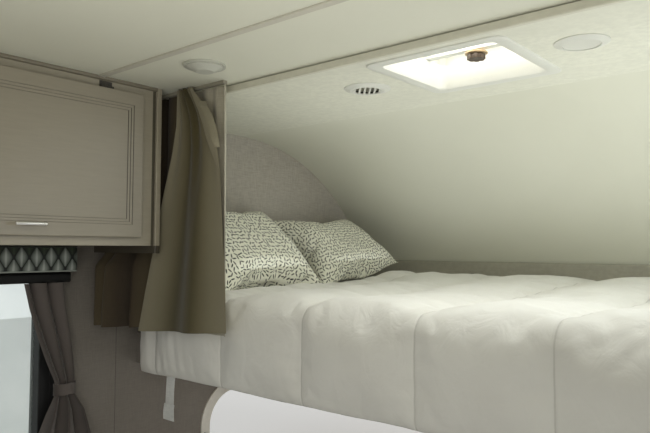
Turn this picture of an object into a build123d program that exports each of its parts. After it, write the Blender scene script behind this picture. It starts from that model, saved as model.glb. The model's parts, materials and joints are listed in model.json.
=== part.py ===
from build123d import *
from math import cos, radians, sin, sqrt
import os

# Cab-over berth section of a motorhome: the forward upper end of the coach body, with the
# berth alcove behind its curved nose, the first lockers, one window bay a side and the bedding.
# Millimetres. X points to the vehicle's right, Y forward and Z up. The origin is the middle of
# the berth deck's underside, where the section sits on the cab roof.

# Body shell
inside_width = 2490.0
side_wall_thickness = 45.0
nose_radius = 980.0
nose_thickness = 80.0
nose_center_y = -200.0
ceiling_height = 860.0
alcove_board_thickness = 20.0
window_rear_margin = 85.0    # from the window's frame to the section's rear end
wall_bottom = -490.0
body_corner = 28.0
nose_chin = 18.0

# Cab arch in each side wall, below the berth
arch_back = -362.0
arch_top = -226.0
arch_radius = 130.0
arch_wing_front = 0.0
arch_trim_width = 38.0
arch_trim_thickness = 6.0
arch_lining_thickness = 4.0
belt_slot_length = 46.0
belt_slot_width = 9.0
belt_slot_height = -400.0

# Berth
deck_thickness = 50.0
deck_back = -700.0
edge_beam_width = 45.0
edge_beam_round = 4.0
edge_beam_depth = 60.0
sill_top = 300.0
sill_thickness = 16.0
sill_round = 6.0
mattress_thickness = 135.0
mattress_end_gap = 20.0
mattress_corner = 30.0
mattress_edge = 16.0
mattress_sill_gap = 6.0
duvet_thickness = 42.0
duvet_hem_round = 16.8
duvet_end_gap = 65.0
duvet_fall_depth = 126.0
duvet_fall_standoff = 12.0
duvet_bend_radius = 52.0
pillow_length = 590.0
pillow_width = 400.0
pillow_thickness = 155.0
pillow_edge = 50.0
pillow_corner = 45.0
pillow_rear_wall_gap = 225.0    # from the left wall to the pillow's middle
pillow_rear_y = -395.0
pillow_rear_turn = 0.0
pillow_rear_tilt = 36.0
pillow_forward_wall_gap = 213.0
pillow_forward_y = 208.0
pillow_forward_turn = -3.0
pillow_forward_tilt = 22.0
tape_width = 40.0
tape_thickness = 2.0
tape_top = -14.0
tape_bottom = -230.0
tape_wall_gap = 225.0

# Ceiling trim
header_setback = 50.0
header_depth = 12.0
header_round = 4.0
header_bottom_lip = 2.0
header_shadow_gap = 3.0
batten_y = -1071.0
batten_width = 22.0
batten_thickness = 4.0
batten_round = 2.4
track_width = 14.0
track_spare = 10.0
track_height = 10.0
track_slot_width = 5.0
track_slot_depth = 6.0

# Overhead lockers
locker_depth = 352.0
locker_height = 495.0
locker_front = -877.0
locker_length = 887.0
locker_frame_thickness = 19.0
locker_board_thickness = 12.0
locker_frame_reveal = 20.0
locker_end_thickness = 18.0
locker_end_drop = 23.0
locker_end_proud = 8.0
crown_size = 10.0
door_side_margin = 58.0
door_length = 694.0
door_bottom_margin = 25.0
door_top_margin = 35.0
door_thickness = 19.0
door_gap = 5.0
door_stile = 34.0
door_rail = 38.0
door_step_width = 8.0
door_step_depth = 2.4
door_step_count = 3
pull_length = 80.0
pull_diameter = 9.0
pull_end_bevel = 1.35
pull_standoff = 26.0
pull_post = 6.0
pull_height = 31.0

# Hinges
hinge_pin_diameter = 4.0
hinge_running_clearance = 0.3
hinge_knuckle_diameter = 9.0
hinge_knuckle_length = 20.0
hinge_end_play = 0.5
hinge_leaf_thickness = 1.5
hinge_leaf_length = 24.0
hinge_lug = 7.0
hinge_spread = 460.0
door_hinge_back = 4.0
door_hinge_rise = 5.0

# Side windows, black clamp frames
window_center_y = -1360.0
window_center_z = -30.0
window_length = 710.0
window_height = 700.0
window_band = 62.0
window_outer_radius = 90.0
window_inner_radius = 40.0
window_flange = 20.0
window_flange_thickness = 6.0
window_lip_inset = 24.0
window_lip_thickness = 6.0
window_outside_flange = 4.0
pane_thickness = 5.0
pane_grip = 8.0
pane_depth = 14.0

# Window dressings
valance_length = 760.0
valance_height = 80.0
valance_projection = 80.0
valance_round = 6.0
valance_board = 10.0
valance_locker_gap = 3.0
cassette_length = 738.0
cassette_height = 32.0
cassette_projection = 60.0
cassette_drop = 4.0
cassette_end_cap = 12.0
cassette_edge_radius = 8.0
drape_center_offset = 47.0
drape_bottom = -450.0
drape_tie_height = -120.0
drape_tie_band = 30.0
drape_tie_thickness = 3.0
drape_tie_tab_inset = 6.0
drape_tie_neck_width = 68.0
drape_tie_neck_depth = 34.0
drape_top_width = 130.0
drape_top_depth = 44.0
drape_hem_width = 186.0
drape_hem_depth = 60.0
drape_top_inset = 64.0    # behind the window's front edge
drape_neck_reach = 9.0    # ahead of it
drape_hem_reach = 20.0
drape_flare_height = 90.0
drape_flare_short = 30.0
drape_tie_margin = 4.0
drape_corner_share = 0.3

# Berth curtains, stacked at the walls
curtain_y = -806.0
curtain_fold_pitch = 72.0
curtain_fold_lean = 0.3    # share of the pitch
curtain_fold_depth = 36.0
curtain_folds = 8
curtain_thickness = 6.0
curtain_bottom = 85.0
curtain_wall_gap = 14.0

# Roof hatch
hatch_center_y = -530.0
hatch_cutout = 356.0
hatch_cutout_corner = 8.0
hatch_flange = 440.0
hatch_flange_thickness = 3.0
hatch_collar = 350.0
hatch_collar_wall = 10.0
hatch_corner = 14.0
hatch_collar_height = 35.0
hatch_lid_size = 400.0
hatch_lid_wall = 4.0
hatch_lid_skirt = 32.0
hatch_lid_rise = 26.0
hatch_lid_top = 250.0
hatch_lid_gap = 7.0
hatch_lid_corner = 20.0
hatch_hinge_reach = 12.0
hatch_hinge_rise = 16.0
hatch_hinge_spread = 240.0
hatch_ear_thickness = 6.0
garnish_size = 392.0
garnish_flange_corner = 22.0
garnish_thickness = 4.0
garnish_bevel = 2.4
garnish_mouth = 320.0
garnish_corner = 16.0
garnish_throat = 296.0
garnish_height = 66.0
garnish_wall = 3.0
hatch_bar_width = 26.0
hatch_bar_thickness = 8.0
hatch_bar_height = 905.0
hatch_bar_offset = 66.0    # ahead of the hatch's middle
knob_diameter = 50.0
knob_height = 14.0
knob_stem_diameter = 14.0
knob_stem_length = 13.0
knob_plate_diameter = 62.0
knob_plate_thickness = 4.0
knob_plate_gap = 1.5
knob_lobes = 8
knob_flute_depth = 4.0

# Ceiling fittings
register_diameter = 142.0
register_damper_diameter = 124.0
register_throat = 96.0
register_thickness = 8.0
register_rim_drop = 6.0
register_slope = 18.0
register_lip = 6.0
register_vane_thickness = 6.0
register_vane_setback = 1.0
register_damper_setback = 2.0
register_vane_pitch = 15.0
register_vane_count = 6
register_turn = 40.0
register_left_x = -330.0
register_left_y = -520.0
register_right_x = 312.0
register_right_y = -550.0
dome_light_diameter = 115.0
dome_light_rim = 6.0
dome_light_rise = 14.0
dome_light_ledge = 7.0
dome_light_slope = 26.0
dome_light_wall_gap = 679.0
dome_light_y = -948.0

# Outside trim
moulding_width = 40.0
moulding_thickness = 6.0
moulding_groove_width = 12.0
moulding_groove_depth = 2.0
marker_length = 104.0
marker_width = 34.0
marker_proud = 22.0
marker_edge = 8.0
marker_corner = 11.0
marker_sunk = 6.0
marker_angle = 58.0
marker_pitch = 150.0
marker_end_inset = 210.0

fit = 0.3    # clearance of curved and soft faces from what carries them

# Derived places
wall_in = inside_width / 2
wall_out = wall_in + side_wall_thickness
alcove_ceiling = ceiling_height - alcove_board_thickness
nose_center_z = alcove_ceiling - nose_radius
nose_outer_radius = nose_radius + nose_thickness
roof_top = nose_center_z + nose_outer_radius
section_back = window_center_y - window_length / 2 - window_rear_margin
header_y = deck_back - header_setback
deck_top = deck_thickness
mattress_top = deck_top + mattress_thickness
duvet_top = mattress_top + fit + duvet_thickness
locker_face = wall_in - locker_depth
locker_bottom = ceiling_height - locker_height
locker_back = locker_front - locker_length
door_front_y = locker_front - door_side_margin
door_back_y = door_front_y - door_length
door_low = locker_bottom + door_bottom_margin
door_high = ceiling_height - door_top_margin
door_back_x = locker_face - door_gap
door_face_x = door_back_x - door_thickness
door_mid_y = (door_front_y + door_back_y) / 2
door_axis_x = door_back_x - door_hinge_back
door_axis_z = door_high + door_hinge_rise
hatch_bar_y = hatch_center_y + hatch_bar_offset
hatch_axis_y = hatch_center_y + hatch_lid_size / 2 + hatch_hinge_reach
hatch_axis_z = roof_top + hatch_hinge_rise
register_left = (register_left_x, register_left_y)
register_right = (register_right_x, register_right_y)
window_front = window_center_y + window_length / 2
drape_top_y = window_front - drape_top_inset
drape_neck_y = window_front + drape_neck_reach
drape_hem_y = window_front + drape_hem_reach
valance_top = locker_bottom - valance_locker_gap
valance_bottom = valance_top - valance_height
cassette_top = valance_bottom - cassette_drop
cassette_bottom = cassette_top - cassette_height


def block(x0, x1, y0, y1, z0, z1):
    """Box between two corners."""
    return Pos((x0 + x1) / 2, (y0 + y1) / 2, (z0 + z1) / 2) * Box(x1 - x0, y1 - y0, z1 - z0)


def across(profile, x0, x1):
    """Profile drawn as (y, z), carried along X from x0 to x1."""
    return extrude(Plane.YZ.offset(x0) * profile, x1 - x0)


def upright(profile, z0, z1):
    """Profile drawn as (x, y), carried up from z0 to z1."""
    return extrude(Pos(0, 0, z0) * profile, z1 - z0)


def rod(start, end, diameter):
    """Round bar between two points."""
    way = Vector(*end) - Vector(*start)
    return extrude(Plane(origin=start, z_dir=way) * Circle(diameter / 2), way.length)


def cut_rectangle(width, length, corner):
    """Rectangle with its corners cut at 45 degrees."""
    return chamfer(Rectangle(width, length).vertices(), corner)


def cut_corners(width, length, corner, x=0.0, y=0.0):
    """The eight corner points of such a rectangle about x, y."""
    a, b = width / 2, length / 2
    points = [(a, corner - b), (a, b - corner), (a - corner, b), (corner - a, b),
              (-a, b - corner), (-a, corner - b), (corner - a, -b), (a - corner, -b)]
    return [(x + px, y + py) for px, py in points]


def tapered(levels):
    """Solid with flat sides through rings of corner points, each at its height, from the lowest up."""
    rings = [[Vector(x, y, z) for x, y in ring] for z, ring in levels]
    faces = [Face(Wire.make_polygon(rings[0])), Face(Wire.make_polygon(rings[-1]))]
    for low, high in zip(rings, rings[1:]):
        for index in range(len(low)):
            after = (index + 1) % len(low)
            faces.append(Face(Wire.make_polygon([low[index], low[after], high[after], high[index]])))
    return Solid(Shell(faces))


def nose_y(height, radius):
    """Forward reach of the nose arc of this radius at this height."""
    return nose_center_y + sqrt(radius ** 2 - (height - nose_center_z) ** 2)


def nose_drum(radius):
    """Full cylinder about the nose's axis."""
    return across(Pos(nose_center_y, nose_center_z) * Circle(radius), -2 * wall_out, 2 * wall_out)


def mirrored(shape):
    return mirror(shape, about=Plane.YZ)


def pair(shape):
    """The piece and its mirror image on the other side, as one group of solids."""
    return Compound(children=[*shape.solids(), *mirrored(shape).solids()])


def group(shapes):
    return Compound(children=[solid for shape in shapes for solid in shape.solids()])


# Shell

def wall_outline():
    """Side wall seen from the right: y to the right, z up, with the cab arch cut out."""
    radius = nose_radius - fit
    foot = (nose_y(0, radius), 0)
    crown = (nose_center_y, nose_center_z + radius)
    middle = (nose_center_y + radius * cos(radians(40)), nose_center_z + radius * sin(radians(40)))
    bend = arch_radius * (1 - cos(radians(45)))
    edges = [
        Line((section_back, wall_bottom), (arch_back, wall_bottom)),
        Line((arch_back, wall_bottom), (arch_back, arch_top - arch_radius)),
        ThreePointArc((arch_back, arch_top - arch_radius), (arch_back + bend, arch_top - bend),
                      (arch_back + arch_radius, arch_top)),
        Line((arch_back + arch_radius, arch_top), (arch_wing_front, arch_top)),
        Line((arch_wing_front, arch_top), (arch_wing_front, 0)),
        Line((arch_wing_front, 0), foot),
        ThreePointArc(foot, middle, crown),
        Line(crown, (nose_center_y, ceiling_height)),
        Line((nose_center_y, ceiling_height), (section_back, ceiling_height)),
        Line((section_back, ceiling_height), (section_back, wall_bottom)),
    ]
    return make_face(Curve() + edges)


def window_shape(inset, radius):
    """Rounded rectangle of the window, drawn in by the inset."""
    outline = RectangleRounded(window_length - 2 * inset, window_height - 2 * inset, radius)
    return Pos(window_center_y, window_center_z) * outline


def side_wall_right():
    wall = across(wall_outline(), wall_in, wall_out)
    cutout = window_shape(window_flange, window_outer_radius - window_flange)
    return wall - across(cutout, wall_in - 1, wall_out + 1)


def hatch_square(size, corner):
    return Pos(0, hatch_center_y) * cut_rectangle(size, size, corner)


def roof_panel():
    panel = block(-wall_out, wall_out, section_back, nose_center_y, ceiling_height, roof_top)
    shoulders = panel.edges().filter_by(Axis.Y).group_by(Axis.Z)[-1]
    panel = chamfer(shoulders, body_corner)
    return panel - upright(hatch_square(hatch_cutout, hatch_cutout_corner), ceiling_height - 1, roof_top + 1)


def nose_cap():
    """Quarter drum with a thick wall, its side edges cut like the roof's shoulders."""
    ring = Circle(nose_outer_radius) - Circle(nose_radius)
    ring = Pos(nose_center_y, nose_center_z) * ring
    reach = 2 * nose_outer_radius
    window = Pos(nose_center_y + reach / 2, reach / 2) * Rectangle(reach, reach)
    cap = across(ring & window, -wall_out, wall_out)
    rims = [edge for edge in cap.edges().filter_by(GeomType.CIRCLE) if edge.radius > nose_radius + 1]
    cap = chamfer(rims, body_corner)
    chin = cap.edges().filter_by(Axis.X).group_by(Axis.Z)[0].sort_by(Axis.Y)[-1]
    return chamfer(chin, nose_chin)


def berth_deck():
    deck = block(-wall_in, wall_in, deck_back + edge_beam_width, nose_center_y + nose_radius, 0, deck_top)
    return deck & nose_drum(nose_radius - fit)


def berth_edge_beam():
    beam = block(-wall_in, wall_in, deck_back, deck_back + edge_beam_width, -edge_beam_depth, deck_top)
    return fillet(beam.edges().filter_by(Axis.X).group_by(Axis.Z)[0], edge_beam_round)


def alcove_board():
    board = block(-wall_in, wall_in, header_y, nose_center_y, alcove_ceiling, ceiling_height)
    board -= upright(hatch_square(hatch_cutout, hatch_cutout_corner), alcove_ceiling - 1, ceiling_height + 1)
    for place in (register_left, register_right):
        board -= upright(Pos(*place) * Circle(register_throat / 2), alcove_ceiling - 1, ceiling_height + 1)
    return board


def header_rail():
    rail = block(-wall_in, wall_in, header_y - header_depth, header_y,
                 alcove_ceiling - header_bottom_lip, ceiling_height - header_shadow_gap)
    low_edge = rail.edges().filter_by(Axis.X).group_by(Axis.Z)[0].sort_by(Axis.Y)[0]
    return fillet(low_edge, header_round)


def ceiling_batten():
    reach = locker_face - crown_size
    strip = block(-reach, reach, batten_y - batten_width / 2, batten_y + batten_width / 2,
                  ceiling_height - batten_thickness, ceiling_height)
    return fillet(strip.edges().filter_by(Axis.X).group_by(Axis.Z)[0], batten_round)


def front_sill():
    """Board that closes the gap between the mattress and the nose."""
    back = nose_y(sill_top, nose_radius) - sill_thickness
    board = block(-wall_in, wall_in, back, back + 2 * sill_thickness, deck_top, sill_top)
    board &= nose_drum(nose_radius - fit)
    board &= block(-wall_in, wall_in, back, back + sill_thickness, deck_top, sill_top)
    rim = board.edges().filter_by(Axis.X).group_by(Axis.Z)[-1].sort_by(Axis.Y)[0]
    return fillet(rim, sill_round)


def roof_moulding_right():
    """Grooved extrusion along the wall's top joint, bent down around the nose."""
    joint_radius = ceiling_height - nose_center_z

    def run(width, x0, x1):
        straight = block(x0, x1, section_back, nose_center_y,
                         ceiling_height - width / 2, ceiling_height + width / 2)
        bow = Circle(joint_radius + width / 2) - Circle(joint_radius - width / 2)
        reach = 2 * nose_outer_radius
        front = Pos(nose_center_y + reach / 2, reach / 2) * Rectangle(reach, reach)
        return straight + across((Pos(nose_center_y, nose_center_z) * bow) & front, x0, x1)

    bar = run(moulding_width, wall_out, wall_out + moulding_thickness)
    groove_floor = wall_out + moulding_thickness - moulding_groove_depth
    return bar - run(moulding_groove_width, groove_floor, wall_out + 2 * moulding_thickness)


def marker_lights():
    """Five clearance lamps whose feet follow the nose's curve."""
    turn = radians(marker_angle)
    normal = (0, cos(turn), sin(turn))
    drum = nose_drum(nose_outer_radius + fit)
    lamps = []
    for x in (marker_end_inset - wall_out, -marker_pitch, 0, marker_pitch, wall_out - marker_end_inset):
        foot = (x, nose_center_y + nose_outer_radius * cos(turn), nose_center_z + nose_outer_radius * sin(turn))
        seat = Plane(origin=foot, x_dir=(1, 0, 0), z_dir=normal)
        body = extrude(cut_rectangle(marker_length, marker_width, marker_corner), marker_proud + marker_sunk)
        body = chamfer(body.faces().sort_by(Axis.Z)[-1].edges(), marker_edge)
        lamps.append(seat * Pos(0, 0, -marker_sunk) * body - drum)
    return group(lamps)


def arch_trim_right():
    """Moulding on the wall's inner face around the cab arch, with a lining on the cut edge."""
    bend = arch_radius * (1 - cos(radians(45)))
    shoulder = (arch_back + arch_radius, arch_top)
    edges = [
        Line((arch_back, wall_bottom), (arch_back, arch_top - arch_radius)),
        ThreePointArc((arch_back, arch_top - arch_radius), (arch_back + bend, arch_top - bend), shoulder),
        Line(shoulder, (arch_wing_front, arch_top)),
        Line((arch_wing_front, arch_top), (arch_wing_front, wall_bottom)),
        Line((arch_wing_front, wall_bottom), (arch_back, wall_bottom)),
    ]
    opening = make_face(Curve() + edges)
    margin = 2 * arch_trim_width
    keep = Rectangle(arch_wing_front - arch_back + margin, arch_top - wall_bottom + margin,
                     align=(Align.MAX, Align.MIN))
    keep = Pos(arch_wing_front, wall_bottom) * keep
    band = offset(opening, arch_trim_width) - offset(opening, -arch_lining_thickness)
    face_piece = across(band & keep, wall_in - arch_trim_thickness, wall_in)
    lining = (opening - offset(opening, -arch_lining_thickness)) & keep
    lining = across(lining, wall_in - arch_trim_thickness, wall_out)
    slot = block(wall_in - 2 * arch_trim_thickness, wall_in,
                 arch_back - arch_trim_width / 2 - belt_slot_width / 2,
                 arch_back - arch_trim_width / 2 + belt_slot_width / 2,
                 belt_slot_height - belt_slot_length / 2, belt_slot_height + belt_slot_length / 2)
    trim = face_piece + lining
    trim -= block(wall_in - 50, wall_out + 50, arch_wing_front - arch_lining_thickness - 1, arch_wing_front + 1,
                  wall_bottom - 1, arch_top - arch_lining_thickness)
    trim -= block(wall_in - 50, wall_out + 50, arch_back + arch_lining_thickness, arch_wing_front + 1,
                  wall_bottom - 1, wall_bottom + arch_lining_thickness + 1)
    return trim - slot


# Overhead lockers

def locker_right():
    """Face frame and floor board between the two end panels."""
    frame = block(locker_face, locker_face + locker_frame_thickness, locker_back, locker_front,
                  locker_bottom, ceiling_height)
    frame -= block(locker_face - 1, locker_face + locker_frame_thickness + 1,
                   door_back_y + locker_frame_reveal, door_front_y - locker_frame_reveal,
                   door_low + locker_frame_reveal, door_high - locker_frame_reveal)
    floor = block(locker_face + locker_frame_thickness - 1, wall_in, locker_back, locker_front,
                  locker_bottom, locker_bottom + locker_board_thickness)
    return frame + floor


def locker_ends_right():
    """End panels that drop below the locker's floor."""
    ends = []
    for y0 in (locker_front, locker_back - locker_end_thickness):
        panel = block(locker_face - locker_end_proud, wall_in, y0, y0 + locker_end_thickness,
                      locker_bottom - locker_end_drop, ceiling_height)
        nose_edges = panel.edges().filter_by(Axis.Z).group_by(Axis.X)[0]
        ends.append(fillet(nose_edges, 3))
    return group(ends)


def locker_crown_right():
    strip = block(locker_face - crown_size, locker_face, locker_back, locker_front,
                  ceiling_height - crown_size, ceiling_height)
    return fillet(strip.edges().filter_by(Axis.Y).group_by(Axis.Z)[0].sort_by(Axis.X)[0], 5)


def locker_door_right():
    """Routed slab: three steps lead down to the flat panel."""
    door = block(door_face_x, door_back_x, door_back_y, door_front_y, door_low, door_high)
    door = fillet(door.faces().sort_by(Axis.X)[0].edges(), 2.5)
    for step in range(door_step_count):
        side = door_stile + step * door_step_width
        end = door_rail + step * door_step_width
        depth = (step + 1) * door_step_depth
        door -= block(door_face_x - 1, door_face_x + depth, door_back_y + side, door_front_y - side,
                      door_low + end, door_high - end)
    return door


def locker_pull_right():
    """Bar on one post."""
    y = door_mid_y
    z = door_low + pull_height
    tip_x = door_face_x - pull_standoff
    bar = rod((tip_x, y - pull_length / 2, z), (tip_x, y + pull_length / 2, z), pull_diameter)
    bar = chamfer(bar.edges().filter_by(GeomType.CIRCLE), pull_end_bevel)
    post = pull_post / 2
    return bar + block(tip_x, door_face_x, y - post, y + post, z - post, z + post)


def hinge_pin():
    """Pin along X about the origin, as long as the knuckle and the lug on each side of it."""
    return rod((-hinge_knuckle_length, 0, 0), (hinge_knuckle_length, 0, 0), hinge_pin_diameter)


def hinge_knuckle():
    return rod((-hinge_knuckle_length / 2, 0, 0), (hinge_knuckle_length / 2, 0, 0), hinge_knuckle_diameter)


def hinge_bore():
    length = hinge_knuckle_length
    return rod((-length, 0, 0), (length, 0, 0), hinge_pin_diameter + 2 * hinge_running_clearance)


def lug_spans(middle):
    """Low and high ends of the two lugs beside a knuckle whose middle is here."""
    near = hinge_knuckle_length / 2 + hinge_end_play
    return ((middle - hinge_knuckle_length, middle - near), (middle + near, middle + hinge_knuckle_length))


def hinge_places():
    return [door_mid_y - hinge_spread / 2, door_mid_y + hinge_spread / 2]


def door_hinge_fixed_right():
    """Leaf on the face frame with two lugs and the pin between them."""
    lug = hinge_lug / 2
    leaves = []
    for y in hinge_places():
        leaf = Pos(door_axis_x, y, door_axis_z) * Rot(0, 0, 90) * hinge_pin()
        leaf += block(locker_face - hinge_leaf_thickness, locker_face,
                      y - hinge_knuckle_length, y + hinge_knuckle_length,
                      door_axis_z - lug, ceiling_height - crown_size - hinge_leaf_thickness)
        for low, high in lug_spans(y):
            leaf += block(door_axis_x - lug, locker_face, low, high, door_axis_z - lug, door_axis_z + lug)
        leaves.append(leaf)
    return group(leaves)


def door_hinge_moving_right():
    """Leaf on the door's back, wrapped round the pin."""
    half = hinge_knuckle_length / 2
    leaves = []
    for y in hinge_places():
        spot = Pos(door_axis_x, y, door_axis_z) * Rot(0, 0, 90)
        leaf = block(door_back_x, door_back_x + hinge_leaf_thickness, y - half, y + half,
                     door_high - hinge_leaf_length, door_axis_z)
        leaf += block(door_axis_x, door_back_x + hinge_leaf_thickness, y - half, y + half,
                      door_high, door_axis_z)
        leaves.append(leaf + spot * hinge_knuckle() - spot * hinge_bore())
    return group(leaves)


# Side windows and their dressings

def window_frame_right():
    """Clamp frame: stepped inner ring, sleeve through the wall and outer flange."""
    opening = window_shape(window_band, window_inner_radius)
    inner = window_shape(0, window_outer_radius) - opening
    lip = window_shape(window_lip_inset, window_outer_radius - window_lip_inset) - opening
    sleeve = window_shape(window_flange + fit, window_outer_radius - window_flange - fit) - opening
    frame = across(inner, wall_in - window_flange_thickness, wall_in)
    frame += across(lip, wall_in - window_flange_thickness - window_lip_thickness, wall_in)
    frame += across(sleeve, wall_in, wall_out)
    frame += across(inner, wall_out, wall_out + window_outside_flange)
    groove = window_shape(window_band - pane_grip - fit, window_inner_radius + pane_grip + fit)
    return frame - across(groove, wall_out - pane_depth - pane_thickness, wall_out - pane_depth)


def window_pane_right():
    glass = window_shape(window_band - pane_grip, window_inner_radius + pane_grip)
    return across(glass, wall_out - pane_depth - pane_thickness, wall_out - pane_depth)


def valance_right():
    """Padded box over the window: front, two returns and a top, open below."""
    front = wall_in - valance_projection
    shell = block(front, wall_in, window_center_y - valance_length / 2, window_center_y + valance_length / 2,
                  valance_bottom, valance_top)
    shell = fillet(shell.edges().filter_by(Axis.Z).group_by(Axis.X)[0], valance_round)
    return shell - block(front + valance_board, wall_in + 1,
                         window_center_y - valance_length / 2 + valance_board,
                         window_center_y + valance_length / 2 - valance_board,
                         valance_bottom - 1, valance_top - valance_board)


def shade_cassette_right():
    """Blind housing, clear of the window frame and carried by its end caps."""
    body_back = wall_in - window_flange_thickness - window_lip_thickness - fit
    y0 = window_center_y - cassette_length / 2
    y1 = window_center_y + cassette_length / 2
    body = block(wall_in - cassette_projection, body_back, y0, y1, cassette_bottom, cassette_top)
    body = fillet(body.edges().filter_by(Axis.Y).group_by(Axis.X)[0], cassette_edge_radius)
    for low, high in ((y0, y0 + cassette_end_cap), (y1 - cassette_end_cap, y1)):
        body += block(body_back - 1, wall_in, low, high, cassette_bottom, cassette_top)
    return body


def drape_sides():
    """Forward drape and its twin behind, mirrored about the middle of the window."""
    return ((1, 0), (-1, 2 * window_center_y))


def drape_right(way, shift):
    """Gathered drape: wide at the rail, drawn in at the tie, flared at the hem."""
    x = wall_in - drape_center_offset

    def section(z, y, width, depth):
        return z, cut_corners(depth, width, depth * drape_corner_share, x, shift + way * y)

    tie_high = drape_tie_height + drape_tie_band / 2 + drape_tie_margin
    tie_low = drape_tie_height - drape_tie_band / 2 - drape_tie_margin
    neck = (drape_neck_y, drape_tie_neck_width, drape_tie_neck_depth)
    flare = (drape_hem_y, drape_hem_width - drape_flare_short, drape_hem_depth)
    return tapered([section(drape_bottom, drape_hem_y, drape_hem_width, drape_hem_depth),
                    section(tie_low - drape_flare_height, *flare),
                    section(tie_low, *neck),
                    section(tie_high, *neck),
                    section(cassette_bottom - fit, drape_top_y, drape_top_width, drape_top_depth)])


def drapes():
    return group([mirrored(drape_right(*place)) for place in drape_sides()]
                 + [drape_right(*place) for place in drape_sides()])


def drape_tie_right(way, shift):
    """Band around the neck, with its tab back to the wall."""
    x = wall_in - drape_center_offset
    y = shift + way * drape_neck_y
    low = drape_tie_height - drape_tie_band / 2
    high = drape_tie_height + drape_tie_band / 2

    neck = cut_rectangle(drape_tie_neck_depth, drape_tie_neck_width, drape_tie_neck_depth * drape_corner_share)
    outside = offset(neck, fit + drape_tie_thickness, kind=Kind.INTERSECTION)
    inside = offset(neck, fit, kind=Kind.INTERSECTION)
    band = upright(Pos(x, y) * (outside - inside), low, high)
    edge = y + way * (drape_tie_neck_width / 2 + fit)
    tab_low, tab_high = sorted((edge, edge + way * drape_tie_thickness))
    return band + block(x, wall_in, tab_low, tab_high, low + drape_tie_tab_inset, high - drape_tie_tab_inset)


def drape_ties():
    return group([mirrored(drape_tie_right(*place)) for place in drape_sides()]
                 + [drape_tie_right(*place) for place in drape_sides()])


# Berth curtains

def berth_curtain_left():
    """Curtain drawn back in flat pleats along X."""
    start = -wall_in + curtain_wall_gap
    line = [(start, curtain_y)]
    for fold in range(curtain_folds):
        low = start + fold * curtain_fold_pitch
        depth = curtain_fold_depth if fold % 2 == 0 else -curtain_fold_depth
        line.append((low + curtain_fold_pitch * curtain_fold_lean, curtain_y + depth))
        line.append((low + curtain_fold_pitch * (1 - curtain_fold_lean), curtain_y + depth))
    line.append((start + curtain_folds * curtain_fold_pitch, curtain_y))
    strip = trace(Polyline(*line), line_width=curtain_thickness)
    return upright(strip, curtain_bottom, ceiling_height - track_height - fit)


def curtain_track_left():
    """Short ceiling track over the stacked curtain, slotted below."""
    x0 = -wall_in
    x1 = x0 + curtain_wall_gap + curtain_fold_pitch * curtain_folds + track_spare
    rail = block(x0, x1, curtain_y - track_width / 2, curtain_y + track_width / 2,
                 ceiling_height - track_height, ceiling_height)
    slot = block(x0 + 3, x1 - 3, curtain_y - track_slot_width / 2, curtain_y + track_slot_width / 2,
                 ceiling_height - track_height - 1, ceiling_height - track_height + track_slot_depth)
    return rail - slot


# Roof hatch

def hatch_frame():
    """Roof flange, collar through the cut-out, operator bar and fixed hinge knuckles."""
    mouth = hatch_collar - 2 * hatch_collar_wall
    opening = hatch_square(mouth, hatch_corner)
    flange = upright(hatch_square(hatch_flange, hatch_corner) - opening,
                     roof_top, roof_top + hatch_flange_thickness)
    collar = upright(hatch_square(hatch_collar, hatch_corner) - opening,
                     ceiling_height, roof_top + hatch_collar_height)
    bar = block(-mouth / 2 - 1, mouth / 2 + 1,
                hatch_bar_y - hatch_bar_width / 2, hatch_bar_y + hatch_bar_width / 2,
                hatch_bar_height, hatch_bar_height + hatch_bar_thickness)
    frame = flange + collar + bar
    lug = hinge_lug / 2
    for x in (-hatch_hinge_spread / 2, hatch_hinge_spread / 2):
        frame += Pos(x, hatch_axis_y, hatch_axis_z) * hinge_pin()
        for low, high in lug_spans(x):
            frame += block(low, high, hatch_axis_y - lug, hatch_axis_y + lug, roof_top, hatch_axis_z + lug)
    return frame


def hatch_lid():
    """Moulded dome: straight skirt, sloped crown, hollow below."""
    low = roof_top + hatch_flange_thickness + hatch_lid_gap

    def dome(shrink, start):
        skirt = cut_corners(*[hatch_lid_size - 2 * shrink] * 2, hatch_lid_corner, 0, hatch_center_y)
        crown = cut_corners(*[hatch_lid_top] * 2, hatch_lid_corner, 0, hatch_center_y)
        shoulder = low + hatch_lid_skirt - shrink
        return tapered([(start, skirt), (shoulder, skirt), (shoulder + hatch_lid_rise, crown)])

    lid = dome(0, low) - dome(hatch_lid_wall, low - 1)
    half, ear = hinge_knuckle_length / 2, hatch_ear_thickness / 2
    skirt_face = hatch_center_y + hatch_lid_size / 2
    for x in (-hatch_hinge_spread / 2, hatch_hinge_spread / 2):
        arm = block(x - half, x + half, skirt_face - 1, hatch_axis_y, hatch_axis_z - ear, hatch_axis_z + ear)
        spot = Pos(x, hatch_axis_y, hatch_axis_z)
        lid += arm + spot * hinge_knuckle() - spot * hinge_bore()
    return lid


def hatch_garnish():
    """Ceiling flange and tapered funnel from the square mouth to the rounded throat."""
    low = alcove_ceiling - garnish_thickness

    def funnel(grow):
        mouth = cut_corners(*[garnish_mouth + 2 * grow] * 2, garnish_corner, 0, hatch_center_y)
        throat = cut_corners(*[garnish_throat + 2 * grow] * 2, garnish_corner, 0, hatch_center_y)
        return tapered([(low, mouth), (low + garnish_height, throat)])

    flange = upright(hatch_square(garnish_size, garnish_flange_corner), low, alcove_ceiling)
    flange = chamfer(flange.faces().sort_by(Axis.Z)[0].edges(), garnish_bevel)
    return (flange + funnel(garnish_wall)) - funnel(0)


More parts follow.
